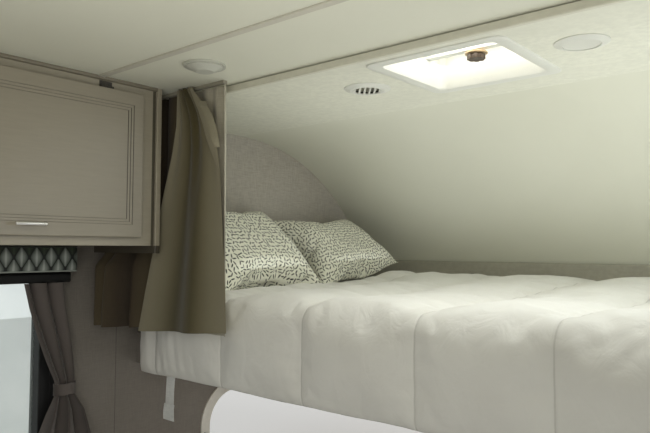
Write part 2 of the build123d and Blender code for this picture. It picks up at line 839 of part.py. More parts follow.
def hatch_knob():
    """Fluted knob below its round plate, on a stem from the operator bar."""
    grip_top = hatch_bar_height - knob_stem_length
    plate_low = grip_top + knob_plate_gap
    plate = upright(Pos(0, hatch_bar_y) * Circle(knob_plate_diameter / 2), plate_low,
                    plate_low + knob_plate_thickness)
    stem = upright(Pos(0, hatch_bar_y) * Circle(knob_stem_diameter / 2), grip_top, hatch_bar_height)
    rim = []
    for index in range(2 * knob_lobes):
        turn = radians(180 / knob_lobes * index)
        reach = knob_diameter / 2 - (knob_flute_depth if index % 2 else 0)
        rim.append((reach * cos(turn), hatch_bar_y + reach * sin(turn)))
    grip = make_face(Polyline(*rim, close=True))
    grip = upright(grip, grip_top - knob_height, grip_top)
    return plate + stem + grip


# Ceiling fittings

def register_ring(place, diameter):
    """Round face with a turned rim, open in the middle."""
    low = alcove_ceiling - register_thickness
    face = upright(Circle(diameter / 2), low, alcove_ceiling)
    face = chamfer(face.edges().group_by(Axis.Z)[0], register_rim_drop, register_slope)
    mouth = Circle(register_throat / 2 - register_lip)
    return Pos(*place, 0) * (face - upright(mouth, low - 1, alcove_ceiling + 1))


def air_registers():
    """Open louvre on the left, closed damper on the right."""
    low = alcove_ceiling - register_thickness
    throat = register_throat / 2 - register_lip
    vanes = register_ring(register_left, register_diameter)
    first = -(register_vane_count - 1) / 2 * register_vane_pitch
    for index in range(register_vane_count):
        x = first + index * register_vane_pitch
        reach = sqrt((throat + 2) ** 2 - x ** 2)
        vane = block(x - register_vane_thickness / 2, x + register_vane_thickness / 2, -reach, reach,
                     low + register_vane_setback, alcove_ceiling)
        vanes += Pos(*register_left, 0) * Rot(0, 0, register_turn) * vane
    damper = register_ring(register_right, register_damper_diameter)
    damper += Pos(*register_right, 0) * upright(Circle(throat + 1), low + register_damper_setback, alcove_ceiling)
    return group([vanes, damper])


def dome_light_left():
    """Rim and shallow lens."""
    radius = dome_light_diameter / 2
    low = ceiling_height - dome_light_rim
    rim = upright(Circle(radius), low, ceiling_height)
    lens = upright(Circle(radius - dome_light_ledge), low - dome_light_rise, low)
    lens = chamfer(lens.edges().group_by(Axis.Z)[0], dome_light_rise - 2, dome_light_slope)
    return Pos(dome_light_wall_gap - wall_in, dome_light_y) * (rim + lens)


# Bedding

def mattress():
    front = nose_y(sill_top, nose_radius) - sill_thickness - fit
    half = wall_in - mattress_end_gap
    outline = Pos(0, (deck_back + front) / 2) * cut_rectangle(2 * half, front - deck_back, mattress_corner)
    pad = upright(outline, deck_top, mattress_top)
    return chamfer(pad.edges().group_by(Axis.Z)[-1], mattress_edge)


def duvet():
    """Quilt over the mattress that falls over the berth's rear edge."""
    half = wall_in - duvet_end_gap
    front = nose_y(sill_top, nose_radius) - sill_thickness - mattress_sill_gap
    inner_y = deck_back - duvet_fall_standoff
    outer_y = inner_y - duvet_thickness
    hem = deck_top - duvet_fall_depth
    inner_z = mattress_top + fit
    outer = Polyline((front, inner_z), (front, duvet_top), (outer_y, duvet_top), (outer_y, hem),
                     (inner_y, hem), (inner_y, inner_z), close=True)
    profile = make_face(outer)
    bend = [corner for corner in profile.vertices()
            if abs(corner.X - outer_y) < 1 and abs(corner.Y - duvet_top) < 1]
    profile = fillet(bend, duvet_bend_radius)
    ends = [corner for corner in profile.vertices() if corner.Y < hem + 1 or corner.X > front - 1]
    profile = fillet(ends, duvet_hem_round)
    return across(profile, -half, half)


def pillow(wall_gap, y, turn, tilt):
    """Soft pad leaning on the left wall, set down on the duvet."""
    outline = cut_rectangle(pillow_width, pillow_length, pillow_corner)
    pad = upright(outline, -pillow_thickness / 2, pillow_thickness / 2)
    pad = chamfer(pad.edges().group_by(Axis.Z)[0] + pad.edges().group_by(Axis.Z)[-1], pillow_edge)
    pad = Pos(wall_gap - wall_in, y, 0) * Rot(0, 0, turn) * Rot(0, tilt, 0) * pad
    return Pos(0, 0, duvet_top + fit - pad.bounding_box().min.Z) * pad


def hanging_tape():
    """Tie tape that hangs from the edge beam below the duvet's hem."""
    middle = tape_wall_gap - wall_in
    return block(middle - tape_width / 2, middle + tape_width / 2, deck_back - tape_thickness, deck_back,
                 tape_bottom, tape_top)


pieces = {
    "side_wall_left": mirrored(side_wall_right()),
    "side_wall_right": side_wall_right(),
    "roof_panel": roof_panel(),
    "nose_cap": nose_cap(),
    "berth_deck": berth_deck(),
    "berth_edge_beam": berth_edge_beam(),
    "alcove_ceiling": alcove_board(),
    "header_rail": header_rail(),
    "ceiling_batten": ceiling_batten(),
    "front_sill": front_sill(),
    "roof_mouldings": pair(roof_moulding_right()),
    "marker_lights": marker_lights(),
    "cab_arch_trims": pair(arch_trim_right()),
    "locker_left": mirrored(locker_right()),
    "locker_right": locker_right(),
    "locker_ends": pair(locker_ends_right()),
    "locker_crowns": pair(locker_crown_right()),
    "locker_door_left": mirrored(locker_door_right()),
    "locker_door_right": locker_door_right(),
    "locker_pull_left": mirrored(locker_pull_right()),
    "locker_pull_right": locker_pull_right(),
    "frame_hinge_leaves": pair(door_hinge_fixed_right()),
    "door_hinge_leaves_left": mirrored(door_hinge_moving_right()),
    "door_hinge_leaves_right": door_hinge_moving_right(),
    "window_frames": pair(window_frame_right()),
    "window_panes": pair(window_pane_right()),
    "valances": pair(valance_right()),
    "shade_cassettes": pair(shade_cassette_right()),
    "drapes": drapes(),
    "drape_ties": drape_ties(),
    "curtain_tracks": pair(curtain_track_left()),
    "berth_curtain_left": berth_curtain_left(),
    "berth_curtain_right": mirrored(berth_curtain_left()),
    "hatch_frame": hatch_frame(),
    "hatch_lid": hatch_lid(),
    "hatch_garnish": hatch_garnish(),
    "hatch_knob": hatch_knob(),
    "air_registers": air_registers(),
    "dome_lights": pair(dome_light_left()),
    "mattress": mattress(),
    "duvet": duvet(),
    "pillow_rear": pillow(pillow_rear_wall_gap, pillow_rear_y, pillow_rear_turn, pillow_rear_tilt),
    "pillow_forward": pillow(pillow_forward_wall_gap, pillow_forward_y, pillow_forward_turn,
                             pillow_forward_tilt),
    "hanging_tape": hanging_tape(),
}

os.makedirs("parts", exist_ok=True)
for node, shape in pieces.items():
    export_step(shape, "parts/" + node + ".step")
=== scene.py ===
"""Looks of the cab-over berth section: finishes, bedding, curtains, fittings, light and camera.

Metres. X points to the vehicle's right, Y forward and Z up, as in the frame that is loaded.
"""
import json
from math import atan2, cos, exp, pi, radians, sin, sqrt

import bmesh
import bpy
from mathutils import Matrix, Vector, noise


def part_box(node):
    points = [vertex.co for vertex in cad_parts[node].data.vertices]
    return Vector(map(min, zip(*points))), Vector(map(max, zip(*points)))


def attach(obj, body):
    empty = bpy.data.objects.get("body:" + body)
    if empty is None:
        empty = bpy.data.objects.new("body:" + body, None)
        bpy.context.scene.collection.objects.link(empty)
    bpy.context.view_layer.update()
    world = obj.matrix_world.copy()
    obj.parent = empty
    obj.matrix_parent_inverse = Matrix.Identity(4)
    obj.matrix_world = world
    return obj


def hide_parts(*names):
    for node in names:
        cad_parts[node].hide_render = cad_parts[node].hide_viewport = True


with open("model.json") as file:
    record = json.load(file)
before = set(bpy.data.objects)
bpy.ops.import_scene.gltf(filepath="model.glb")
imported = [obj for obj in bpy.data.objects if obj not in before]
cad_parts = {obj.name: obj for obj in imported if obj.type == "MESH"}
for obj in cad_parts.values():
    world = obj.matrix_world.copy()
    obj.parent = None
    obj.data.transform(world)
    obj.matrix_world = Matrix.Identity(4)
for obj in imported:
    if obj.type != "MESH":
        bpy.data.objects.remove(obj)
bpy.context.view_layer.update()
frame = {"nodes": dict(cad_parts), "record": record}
nodes = frame["nodes"]

# Places shared by several pieces
WALL_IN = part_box("side_wall_right")[0][0]
WALL_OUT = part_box("side_wall_right")[1][0]
ALCOVE_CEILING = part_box("alcove_ceiling")[0][2]
ROOF_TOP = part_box("roof_panel")[1][2]
SECTION_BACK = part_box("roof_panel")[0][1]
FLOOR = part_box("side_wall_right")[0][2]
NOSE_CENTER = Vector((0.0, -0.200, -0.140))
NOSE_RADIUS = 0.980
NOSE_OUTER = 1.060
HATCH_Y = -0.530
DECK_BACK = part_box("berth_edge_beam")[0][1]
DUVET_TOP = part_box("duvet")[1][2]
CURTAIN_Y = -0.806
WINDOW_Y = -1.360
WALL_SHEET_SEAM_Y, PAINTED_SHADE_TOP = -0.784, 0.12    # the wall board's seam, and the height below which the wall is darkened with painted shade; behind the seam it is darkened with painted shade too
CUT_DEPTH = 0.0006    # within this of a cut face the panel's core shows
TRACK_Z = 0.856
HATCH_CUT_HALF = 0.178


# Camera and light

def place_camera():
    """Camera at the photograph's place: it stands in the aisle and looks left and slightly up."""
    yaw, pitch, roll = radians(40.47), radians(2.83), radians(0.23)
    ahead = Vector((-sin(yaw) * cos(pitch), cos(yaw) * cos(pitch), sin(pitch)))
    side = Vector((cos(yaw), sin(yaw), 0))
    above = side.cross(ahead)
    turned_side = side * cos(roll) + above * sin(roll)
    turned_above = above * cos(roll) - side * sin(roll)
    data = bpy.data.cameras.new("photo_camera")
    data.sensor_width = 36.0
    data.sensor_fit = "HORIZONTAL"
    data.lens = 35.45
    data.clip_start = 0.02
    camera = bpy.data.objects.new("photo_camera", data)
    bpy.context.collection.objects.link(camera)
    turn = Matrix((turned_side, turned_above, -ahead)).transposed().to_4x4()
    camera.matrix_world = Matrix.Translation((0.81, -2.05, 0.36)) @ turn
    bpy.context.scene.camera = camera


def area_light(name, place, target, size, power, color=(1, 1, 1)):
    data = bpy.data.lights.new(name, "AREA")
    data.shape = "RECTANGLE"
    data.size, data.size_y = size
    data.energy = power
    data.color = color
    light = bpy.data.objects.new(name, data)
    bpy.context.collection.objects.link(light)
    light.visible_camera = False
    light.location = place
    light.rotation_euler = (Vector(target) - Vector(place)).to_track_quat("-Z", "Y").to_euler()


def seen_directly(tree):
    """1 for what the camera sees, also by way of a mirror or through glass."""
    path = add_node(tree, "LightPath")
    seen = add_math(tree, "MAXIMUM", path["Is Camera Ray"], path["Is Glossy Ray"])
    return add_math(tree, "MAXIMUM", seen, path["Is Transmission Ray"])


def light_scene():
    area_light("aisle_light", (2.2, -2.95, 1.1), (-0.5, -0.7, 0.2), (1.6, 1.4), 25, (1.0, 0.975, 0.90))
    area_light("bounce_light", (0.55, -2.3, -0.40), (0.25, -1.0, 0.9), (1.4, 1.0), 8.5, (1.0, 0.985, 0.93))
    area_light("ceiling_bounce", (0.30, -1.40, 0.36), (0.30, -1.38, 0.86), (1.4, 0.7), 2.1, (1.0, 0.99, 0.94))
    area_light("alcove_light", (1.17, -0.25, 0.48), (-0.35, -0.1, 0.64), (0.9, 0.30), 4.1, (0.86, 0.92, 1.0))
    area_light("bed_bounce", (0.05, -0.10, 0.30), (0.05, -0.12, 0.84), (1.9, 1.0), 3.4, (0.93, 0.97, 1.0))
    area_light("hatch_light", (0, HATCH_Y, 0.928), (0, HATCH_Y, 0.0), (0.27, 0.27), 0.8, (1.0, 0.97, 0.94))
    area_light("quilt_light", (0.28, -0.56, 0.80), (0.28, -0.63, 0.2), (1.3, 0.20), 2.7, (0.93, 0.97, 1.0))
    area_light("cab_light", (-0.92, -0.35, -0.26), (-1.245, -0.85, -0.20), (0.3, 0.2), 0.30, (1.0, 1.0, 0.95))
    area_light("roof_light", (0.3, -0.4, 2.4), (0, -0.53, 0.9), (1.6, 1.6), 16)
    area_light("front_light", (1.8, 3.2, 2.2), (0, 0, 0.3), (2.5, 2.5), 45)
    world = bpy.data.worlds.new("pale_studio")
    bpy.context.scene.world = world
    world.use_nodes = True
    tree = world.node_tree
    shade = tree.nodes["Background"]
    shade.inputs["Color"].default_value = (1, 1, 1, 1)
    strength = add_node(tree, "Mix", Factor=seen_directly(tree), A=WORLD_LIGHT, B=1.0)
    tree.links.new(strength["Result"], shade.inputs["Strength"])


WORLD_LIGHT = 0.22


def lay_floor():
    clear_selection()
    bpy.ops.mesh.primitive_plane_add(size=14, location=(0, -0.5, FLOOR - 0.0015))
    floor = bpy.context.object
    floor.name = "studio_floor"
    bpy.ops.object.transform_apply(location=True, rotation=True, scale=True)
    surface = bpy.data.materials.new("pale_floor")
    surface.use_nodes = True
    tree = surface.node_tree
    paint(surface, Base_Color=(0.62, 0.62, 0.61, 1), Roughness=0.8, Emission_Strength=1.0,
          Emission_Color=add_mix(tree, seen_directly(tree), (0, 0, 0, 1), (0.42, 0.42, 0.41, 1)))
    floor.data.materials.append(surface)


# Modelling helpers

def clear_selection():
    if bpy.context.mode != "OBJECT":
        bpy.ops.object.mode_set(mode="OBJECT")
    bpy.ops.object.select_all(action="DESELECT")


def activate(piece):
    clear_selection()
    piece.select_set(True)
    bpy.context.view_layer.objects.active = piece


def start_box(name, low, high):
    """Cube added at its size and place."""
    clear_selection()
    low, high = Vector(low), Vector(high)
    bpy.ops.mesh.primitive_cube_add(size=1, location=(low + high) / 2, scale=high - low)
    return named(name)


def start_cylinder(name, middle, radius, depth, sides):
    clear_selection()
    bpy.ops.mesh.primitive_cylinder_add(vertices=sides, radius=radius, depth=depth, location=middle)
    return named(name)


def named(name):
    piece = bpy.context.object
    piece.name = name
    bpy.ops.object.transform_apply(location=True, rotation=True, scale=True)
    return piece


def pick(piece, kind, test):
    """Edit mode with only the vertices, edges or faces that pass the test selected."""
    activate(piece)
    bpy.ops.object.mode_set(mode="EDIT")
    bpy.ops.mesh.select_mode(type=kind)
    bpy.ops.mesh.select_all(action="DESELECT")
    shape = bmesh.from_edit_mesh(piece.data)
    shape.normal_update()
    parts = {"VERT": shape.verts, "EDGE": shape.edges, "FACE": shape.faces}[kind]
    for part in parts:
        part.select_set(bool(test(part)))
    shape.select_flush_mode()
    bmesh.update_edit_mesh(piece.data)


def leave():
    bpy.ops.object.mode_set(mode="OBJECT")


def round_edges(piece, width, segments, test):
    pick(piece, "EDGE", test)
    bpy.ops.mesh.bevel(offset=width, offset_type="OFFSET", segments=segments, affect="EDGES",
                       clamp_overlap=True)
    leave()


def sharp_edges(edge):
    """Edges where two faces meet at more than 30 degrees."""
    return len(edge.link_faces) == 2 and edge.calc_face_angle(0) > radians(30)


def middle_of(edge):
    return (edge.verts[0].co + edge.verts[1].co) / 2


def modify(piece, name, kind, live=False, **settings):
    """Adds a modifier with these settings, and applies it unless it stays live."""
    change = piece.modifiers.new(name, kind)
    for setting, value in settings.items():
        setattr(change, setting, value)
    if not live:
        activate(piece)
        bpy.ops.object.modifier_apply(modifier=change.name)


def subdivide(piece):
    modify(piece, "smooth", "SUBSURF", levels=1, render_levels=1)


def edit_all(piece, weld=None, outward=True):
    """Welds points nearer than this and turns the faces outward, over the whole piece."""
    activate(piece)
    bpy.ops.object.mode_set(mode="EDIT")
    bpy.ops.mesh.select_all(action="SELECT")
    if weld is not None:
        bpy.ops.mesh.remove_doubles(threshold=weld)
    if outward:
        bpy.ops.mesh.normals_make_consistent(inside=False)
    leave()


def cut_away(piece, cutter):
    """Takes the cutter's shape out of the piece and deletes the cutter."""
    modify(piece, "cut", "BOOLEAN", operation="DIFFERENCE", solver="EXACT", object=cutter)
    bpy.data.objects.remove(cutter)


def join(name, pieces):
    """One object from several, under this name."""
    clear_selection()
    for piece in pieces:
        piece.select_set(True)
    bpy.context.view_layer.objects.active = pieces[0]
    bpy.ops.object.join()
    pieces[0].name = name
    return pieces[0]


MIRROR_X = Matrix.Scale(-1, 4, (1, 0, 0))


def shade(piece, angle=35):
    activate(piece)
    bpy.ops.object.shade_smooth_by_angle(angle=radians(angle))


def dress(piece, finish, body="root", replaces=(), angle=35):
    """Gives a finished piece its material, slot, body and shading."""
    piece.data.materials.clear()
    piece.data.materials.append(finish)
    shade(piece, angle)
    if replaces:
        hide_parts(*replaces)
    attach(piece, body)
    return piece


def close_mesh(name, points, faces, flat=None):
    """Mesh object from points and faces, with a UV map in metres where flat places are given."""
    data = bpy.data.meshes.new(name)
    data.from_pydata(points, [], faces)
    if flat:
        layer = data.uv_layers.new(name="cloth")
        for loop in data.loops:
            layer.data[loop.index].uv = flat[loop.vertex_index]
    data.validate()
    piece = bpy.data.objects.new(name, data)
    bpy.context.collection.objects.link(piece)
    return piece


def cloth_grid(name, columns, rows, place, size):
    """Open sheet from place(u, v), u across and v down, with a UV map in metres of the flat cloth."""
    points, flat, faces = [], [], []
    for row in range(rows + 1):
        for column in range(columns + 1):
            u, v = column / columns, row / rows
            points.append(place(u, v))
            flat.append((u * size[0], (1 - v) * size[1]))
    for row in range(rows):
        for column in range(columns):
            start = row * (columns + 1) + column
            faces.append((start, start + columns + 1, start + columns + 2, start + 1))
    return close_mesh(name, points, faces, flat)


def thicken(piece, thickness, offset=0):
    """Gives a sheet its thickness."""
    modify(piece, "thickness", "SOLIDIFY", thickness=thickness, offset=offset)


def smoothstep(low, high, value):
    share = min(max((value - low) / (high - low), 0.0), 1.0)
    return share * share * (3 - 2 * share)


def read_table(table, value):
    """Value read between the rows of a short table of (position, value)."""
    for (a, first), (b, second) in zip(table, table[1:]):
        if value <= b:
            return first + (second - first) * (value - a) / (b - a)
    return table[-1][1]


# Shader helpers

def add_math(tree, operation, *values):
    node = tree.nodes.new("ShaderNodeMath")
    node.operation = operation
    for socket, value in zip(node.inputs, values):
        feed(tree, socket, value)
    return node.outputs[0]


def feed(tree, socket, value):
    if isinstance(value, bpy.types.NodeSocket):
        tree.links.new(value, socket)
    elif value is not None:
        socket.default_value = value


def feed_all(tree, node, values):
    """Feeds the named inputs; an underscore in a name stands for a space."""
    for name, value in values.items():
        feed(tree, node.inputs[name.replace("_", " ")], value)
    return node.outputs


def add_node(tree, kind, **values):
    return feed_all(tree, tree.nodes.new("ShaderNode" + kind), values)


def add_noise(tree, coords, scale, detail=3.0, rough=0.5):
    return add_node(tree, "TexNoise", Vector=coords, Scale=scale, Detail=detail, Roughness=rough)["Fac"]


def add_mapping(tree, coords, scale):
    return add_node(tree, "Mapping", Vector=coords, Scale=scale)["Vector"]


def add_range(tree, value, low, high, to_low=0.0, to_high=1.0, smooth=False):
    node = tree.nodes.new("ShaderNodeMapRange")
    node.interpolation_type = "SMOOTHSTEP" if smooth else "LINEAR"
    return feed_all(tree, node, {"Value": value, "From Min": low, "From Max": high, "To Min": to_low,
                                 "To Max": to_high})["Result"]


def add_mix(tree, factor, first, second):
    node = tree.nodes.new("ShaderNodeMix")
    node.data_type = "RGBA"
    return feed_all(tree, node, {"Factor": factor, "A": first, "B": second})["Result"]


def add_bump(tree, height, distance, strength=1.0, onto=None):
    return add_node(tree, "Bump", Height=height, Distance=distance, Strength=strength, Normal=onto)["Normal"]


def axes(tree, coords):
    return add_node(tree, "SeparateXYZ", Vector=coords)


def place_group(tree, group, **values):
    node = tree.nodes.new("ShaderNodeGroup")
    node.node_tree = group
    return feed_all(tree, node, values)


def new_group(name, inputs, outputs):
    """Empty node group with named sockets, and its inner input and output nodes."""
    group = bpy.data.node_groups.new(name, "ShaderNodeTree")
    for title, kind, value in inputs:
        socket = group.interface.new_socket(title, in_out="INPUT", socket_type=kind)
        if value is not None:
            socket.default_value = value
    for title, kind in outputs:
        group.interface.new_socket(title, in_out="OUTPUT", socket_type=kind)
    return group, group.nodes.new("NodeGroupInput").outputs, group.nodes.new("NodeGroupOutput").inputs


def make_weave_group():
    """Over and under threads of a plain weave, with slubs; coordinates are in metres."""
    group, given, out = new_group(
        "plain_weave",
        [("Vector", "NodeSocketVector", None), ("Threads", "NodeSocketFloat", 900.0),
         ("Slub", "NodeSocketFloat", 0.5)],
        [("Height", "NodeSocketFloat"), ("Shade", "NodeSocketFloat")])
    x, y, _ = axes(group, given["Vector"])
    warp = add_math(group, "SINE", add_math(group, "MULTIPLY", x, given["Threads"]))
    weft = add_math(group, "SINE", add_math(group, "MULTIPLY", y, given["Threads"]))
    cross = add_math(group, "MULTIPLY", warp, weft)
    slub_along = add_noise(group, add_mapping(group, given["Vector"], scale=(25, 420, 25)), 1.0, 2.0)
    slub_across = add_noise(group, add_mapping(group, given["Vector"], scale=(420, 25, 25)), 1.0, 2.0)
    slub = add_math(group, "ADD", slub_along, slub_across)
    height = add_math(group, "MULTIPLY_ADD", cross, 0.25, add_math(group, "MULTIPLY", slub, given["Slub"]))
    group.links.new(height, out["Height"])
    group.links.new(add_range(group, slub, 0.7, 1.3), out["Shade"])
    return group


def make_mottle_group():
    """Broad and fine uneven tone, 0 to 1 about a half."""
    group, given, out = new_group(
        "mottle", [("Vector", "NodeSocketVector", None), ("Scale", "NodeSocketFloat", 3.0)],
        [("Tone", "NodeSocketFloat")])
    spread = add_noise(group, given["Vector"], given["Scale"], 6)
    group.links.new(add_range(group, spread, 0.3, 0.7), out["Tone"])
    return group


def make_wear_group():
    """Rubbed edges: where the surface is convex at a small scale, broken up by a noise."""
    group, given, out = new_group(
        "edge_wear", [("Vector", "NodeSocketVector", None), ("Amount", "NodeSocketFloat", 0.5)],
        [("Wear", "NodeSocketFloat")])
    edge = add_range(group, add_node(group, "NewGeometry")["Pointiness"], 0.51, 0.60)
    broken = add_range(group, add_noise(group, given["Vector"], 60.0, 4.0), 0.35, 0.65)
    wear = add_math(group, "MULTIPLY", edge, broken)
    group.links.new(add_math(group, "MULTIPLY", wear, given["Amount"]), out["Wear"])
    return group


WEAVE = make_weave_group()
MOTTLE = make_mottle_group()
WEAR = make_wear_group()


def start_material(name, roughness, uv=False):
    """Material with its tree and coordinates."""
    finish = bpy.data.materials.new(name)
    finish.use_nodes = True
    tree = finish.node_tree
    paint(finish, Roughness=roughness)
    if uv:
        node = tree.nodes.new("ShaderNodeUVMap")
        node.uv_map = "cloth"
        coords = node.outputs["UV"]
    else:
        coords = tree.nodes.new("ShaderNodeTexCoord").outputs["Object"]
    return finish, tree, coords


def tint(color, factor):
    return tuple(channel * factor for channel in color) + (1,)


def rgba(color):
    return (*color, 1)


def uneven(tree, coords, scale):
    return place_group(tree, MOTTLE, Vector=coords, Scale=scale)["Tone"]


def paint(finish, **values):
    """Feeds the shader's inputs from sockets or plain values."""
    feed_all(finish.node_tree, finish.node_tree.nodes["Principled BSDF"], values)
    return finish


def repaint(finish, factor, color):
    """Mixes a colour over the finish's own by this factor."""
    tree = finish.node_tree
    before = tree.nodes["Principled BSDF"].inputs["Base Color"].links[0].from_socket
    return paint(finish, Base_Color=add_mix(tree, factor, before, color))


def own_axes(finish, kind="TEX_COORD", output="Object"):
    """The finish's tree, and the axes of the coordinates that it already reads."""
    tree = finish.node_tree
    return tree, axes(tree, next(node for node in tree.nodes if node.type == kind).outputs[output])


def cloth_material(name, color, threads, depth, uv=True):
    """Plain woven cloth with slubs and uneven tone."""
    finish, tree, coords = start_material(name, 0.9, uv)
    weave = place_group(tree, WEAVE, Vector=coords, Threads=threads)
    tone = uneven(tree, coords, 5.0)
    shaded = add_mix(tree, weave["Shade"], tint(color, 0.78), rgba(color))
    return paint(finish, Normal=add_bump(tree, weave["Height"], depth), Specular_IOR_Level=0.2,
                 Base_Color=add_mix(tree, add_math(tree, "MULTIPLY", tone, 0.5), shaded, tint(color, 1.08)),
                 Sheen_Weight=0.15, Sheen_Roughness=0.6)


def band_shaded_cloth_material(name, dark, lit_band_color, period, phase):
    """Brown cloth lightened in upright bands: painted light and painted shade standing in for the light on
    its folds.
    """
    finish = cloth_material(name, dark, 2400.0, 0.0004)
    tree, place = own_axes(finish, "UVMAP", "UV")
    # painted light and shade: a cosine across the cloth mixes in the lighter colour band by band
    wave = add_math(tree, "COSINE", add_math(tree, "MULTIPLY_ADD", place["X"], 2 * pi / period, phase))
    return repaint(finish, add_range(tree, wave, -0.6, 1.0, 0.0, 0.90), rgba(lit_band_color))


def moulded_material(name, color, roughness, wear=0.25, gloss=0.5):
    """Moulded plastic with a fine grain, uneven tone and rubbed edges."""
    finish, tree, coords = start_material(name, roughness)
    tone = uneven(tree, coords, 9.0)
    rubbed = place_group(tree, WEAR, Vector=coords, Amount=wear)["Wear"]
    plain = add_mix(tree, tone, tint(color, 0.955), tint(color, 1.02))
    return paint(finish, Base_Color=add_mix(tree, rubbed, plain, tint(color, 1.18)), Specular_IOR_Level=gloss,
                 Roughness=add_range(tree, tone, 0, 1, roughness * 0.9, roughness * 1.15),
                 Normal=add_bump(tree, add_noise(tree, coords, 900.0, 2.0), 0.00012))


def sandwich_mask(tree, place):
    """1 on the section's rear cut and at the walls' feet, where the panel's core shows."""
    behind = add_math(tree, "LESS_THAN", place["Y"], SECTION_BACK + CUT_DEPTH)
    below = add_math(tree, "LESS_THAN", place["Z"], FLOOR + CUT_DEPTH)
    return add_math(tree, "MAXIMUM", behind, below)


def core_color(tree, coords):
    """Pale foam with small cells."""
    cells = add_node(tree, "TexVoronoi", Vector=coords, Scale=420)
    return add_mix(tree, add_range(tree, cells["Distance"], 0.0, 0.7),
                   (0.74, 0.64, 0.40, 1), (0.86, 0.78, 0.56, 1))


def wall_material():
    """Linen-textured board inside, gelcoat outside, foam core on the cut faces; the lower wall and the wall
    behind the seam are darkened with painted shade.
    """
    finish, tree, coords = start_material("linen_wallboard", 0.75)
    place = axes(tree, coords)
    across = add_math(tree, "ABSOLUTE", place["X"])
    inside = add_math(tree, "LESS_THAN", across, WALL_IN + 0.0025)
    outside = add_math(tree, "GREATER_THAN", across, WALL_OUT - 0.0020)
    along_slubs = add_noise(tree, add_mapping(tree, coords, scale=(1, 26, 420)), 1.0, 3.0, 0.6)
    upright_slubs = add_noise(tree, add_mapping(tree, coords, scale=(1, 420, 26)), 1.0, 3.0, 0.6)
    threads = add_math(tree, "ADD", along_slubs, upright_slubs)
    tone = uneven(tree, coords, 2.2)
    linen = add_mix(tree, add_range(tree, threads, 0.75, 1.25),
                    (0.320, 0.292, 0.245, 1), (0.470, 0.432, 0.365, 1))
    linen = add_mix(tree, add_math(tree, "MULTIPLY", tone, 0.25), linen, (0.50, 0.48, 0.45, 1))
    # painted shade: the wall low down and behind the seam is darkened, standing in for the shade under the
    # locker and the berth
    painted_shade_zone = add_math(tree, "MAXIMUM", add_math(tree, "LESS_THAN", place["Y"], WALL_SHEET_SEAM_Y),
                          add_math(tree, "LESS_THAN", place["Z"], PAINTED_SHADE_TOP))
    linen = add_mix(tree, add_math(tree, "MULTIPLY", painted_shade_zone, 0.72), linen, (0.115, 0.100, 0.088, 1))
    seam = add_math(tree, "COMPARE", place["Y"], WALL_SHEET_SEAM_Y, 0.0008)
    linen = add_mix(tree, seam, linen, (0.045, 0.040, 0.036, 1))
    core = core_color(tree, coords)
    color = add_mix(tree, inside, add_mix(tree, outside, core, (0.83, 0.83, 0.80, 1)), linen)
    cut = add_math(tree, "MULTIPLY", sandwich_mask(tree, place),
                   add_math(tree, "SUBTRACT", 1.0, add_math(tree, "MAXIMUM", inside, outside)))
    height = add_math(tree, "MULTIPLY", threads, add_math(tree, "SUBTRACT", 1.0, outside))
    return paint(finish, Base_Color=add_mix(tree, cut, color, core), Normal=add_bump(tree, height, 0.0005),
                 Roughness=add_range(tree, outside, 0, 1, 0.78, 0.22))


def shell_material():
    """Gelcoat outside, smooth off-white board inside, foam core on the rear cut."""
    finish, tree, coords = start_material("gelcoat_shell", 0.3)
    place = axes(tree, coords)
    y = add_math(tree, "MAXIMUM", add_math(tree, "SUBTRACT", place["Y"], NOSE_CENTER.y), 0.0)
    z = add_math(tree, "SUBTRACT", place["Z"], NOSE_CENTER.z)
    reach = add_math(tree, "SQRT", add_math(tree, "ADD", add_math(tree, "MULTIPLY", y, y),
                                            add_math(tree, "MULTIPLY", z, z)))
    curved = add_math(tree, "GREATER_THAN", y, 0.0005)
    liner_reach = add_range(tree, curved, 0, 1, 1.0025, NOSE_RADIUS + 0.003)
    liner = add_math(tree, "LESS_THAN", reach, liner_reach)
    coat = add_math(tree, "GREATER_THAN", reach, NOSE_OUTER - 0.004)
    sides = add_math(tree, "GREATER_THAN", add_math(tree, "ABSOLUTE", place["X"]), WALL_OUT - 0.003)
    coat = add_math(tree, "MAXIMUM", coat, sides)
    tone = uneven(tree, coords, 1.6)
    board = add_mix(tree, tone, (0.670, 0.665, 0.550, 1), (0.710, 0.705, 0.590, 1))
    gelcoat = add_mix(tree, tone, (0.80, 0.80, 0.775, 1), (0.86, 0.86, 0.835, 1))
    inner = add_mix(tree, coat, board, gelcoat)
    behind = add_math(tree, "LESS_THAN", place["Y"], SECTION_BACK + CUT_DEPTH)
    cut = add_math(tree, "MULTIPLY", behind,
                   add_math(tree, "SUBTRACT", 1.0, add_math(tree, "MAXIMUM", liner, coat)))
    return paint(finish, Base_Color=add_mix(tree, cut, inner, core_color(tree, coords)),
                 Roughness=add_range(tree, coat, 0, 1, 0.55, 0.16),
                 Normal=add_bump(tree, add_noise(tree, coords, 240.0, 2.0), 0.00012))


def board_material(name, color, roughness, fibre=0.045):
    """Foil-faced board: faint fibre grain under a satin skin."""
    finish, tree, coords = start_material(name, roughness)
    grain = add_noise(tree, add_mapping(tree, coords, scale=(14, 14, 170)), 1.0, 4.0, 0.6)
    tone = uneven(tree, coords, 3.0)
    rubbed = place_group(tree, WEAR, Vector=coords, Amount=0.35)["Wear"]
    plain = add_mix(tree, add_range(tree, grain, 0.3, 0.7),
                    tint(color, 1 - fibre), tint(color, 1 + fibre))
    plain = add_mix(tree, add_math(tree, "MULTIPLY", tone, 0.35), plain, tint(color, 1.05))
    return paint(finish, Base_Color=add_mix(tree, rubbed, plain, tint(color, 1.3)),
                 Roughness=add_range(tree, tone, 0, 1, roughness * 0.88, roughness * 1.12),
                 Normal=add_bump(tree, grain, 0.00006))


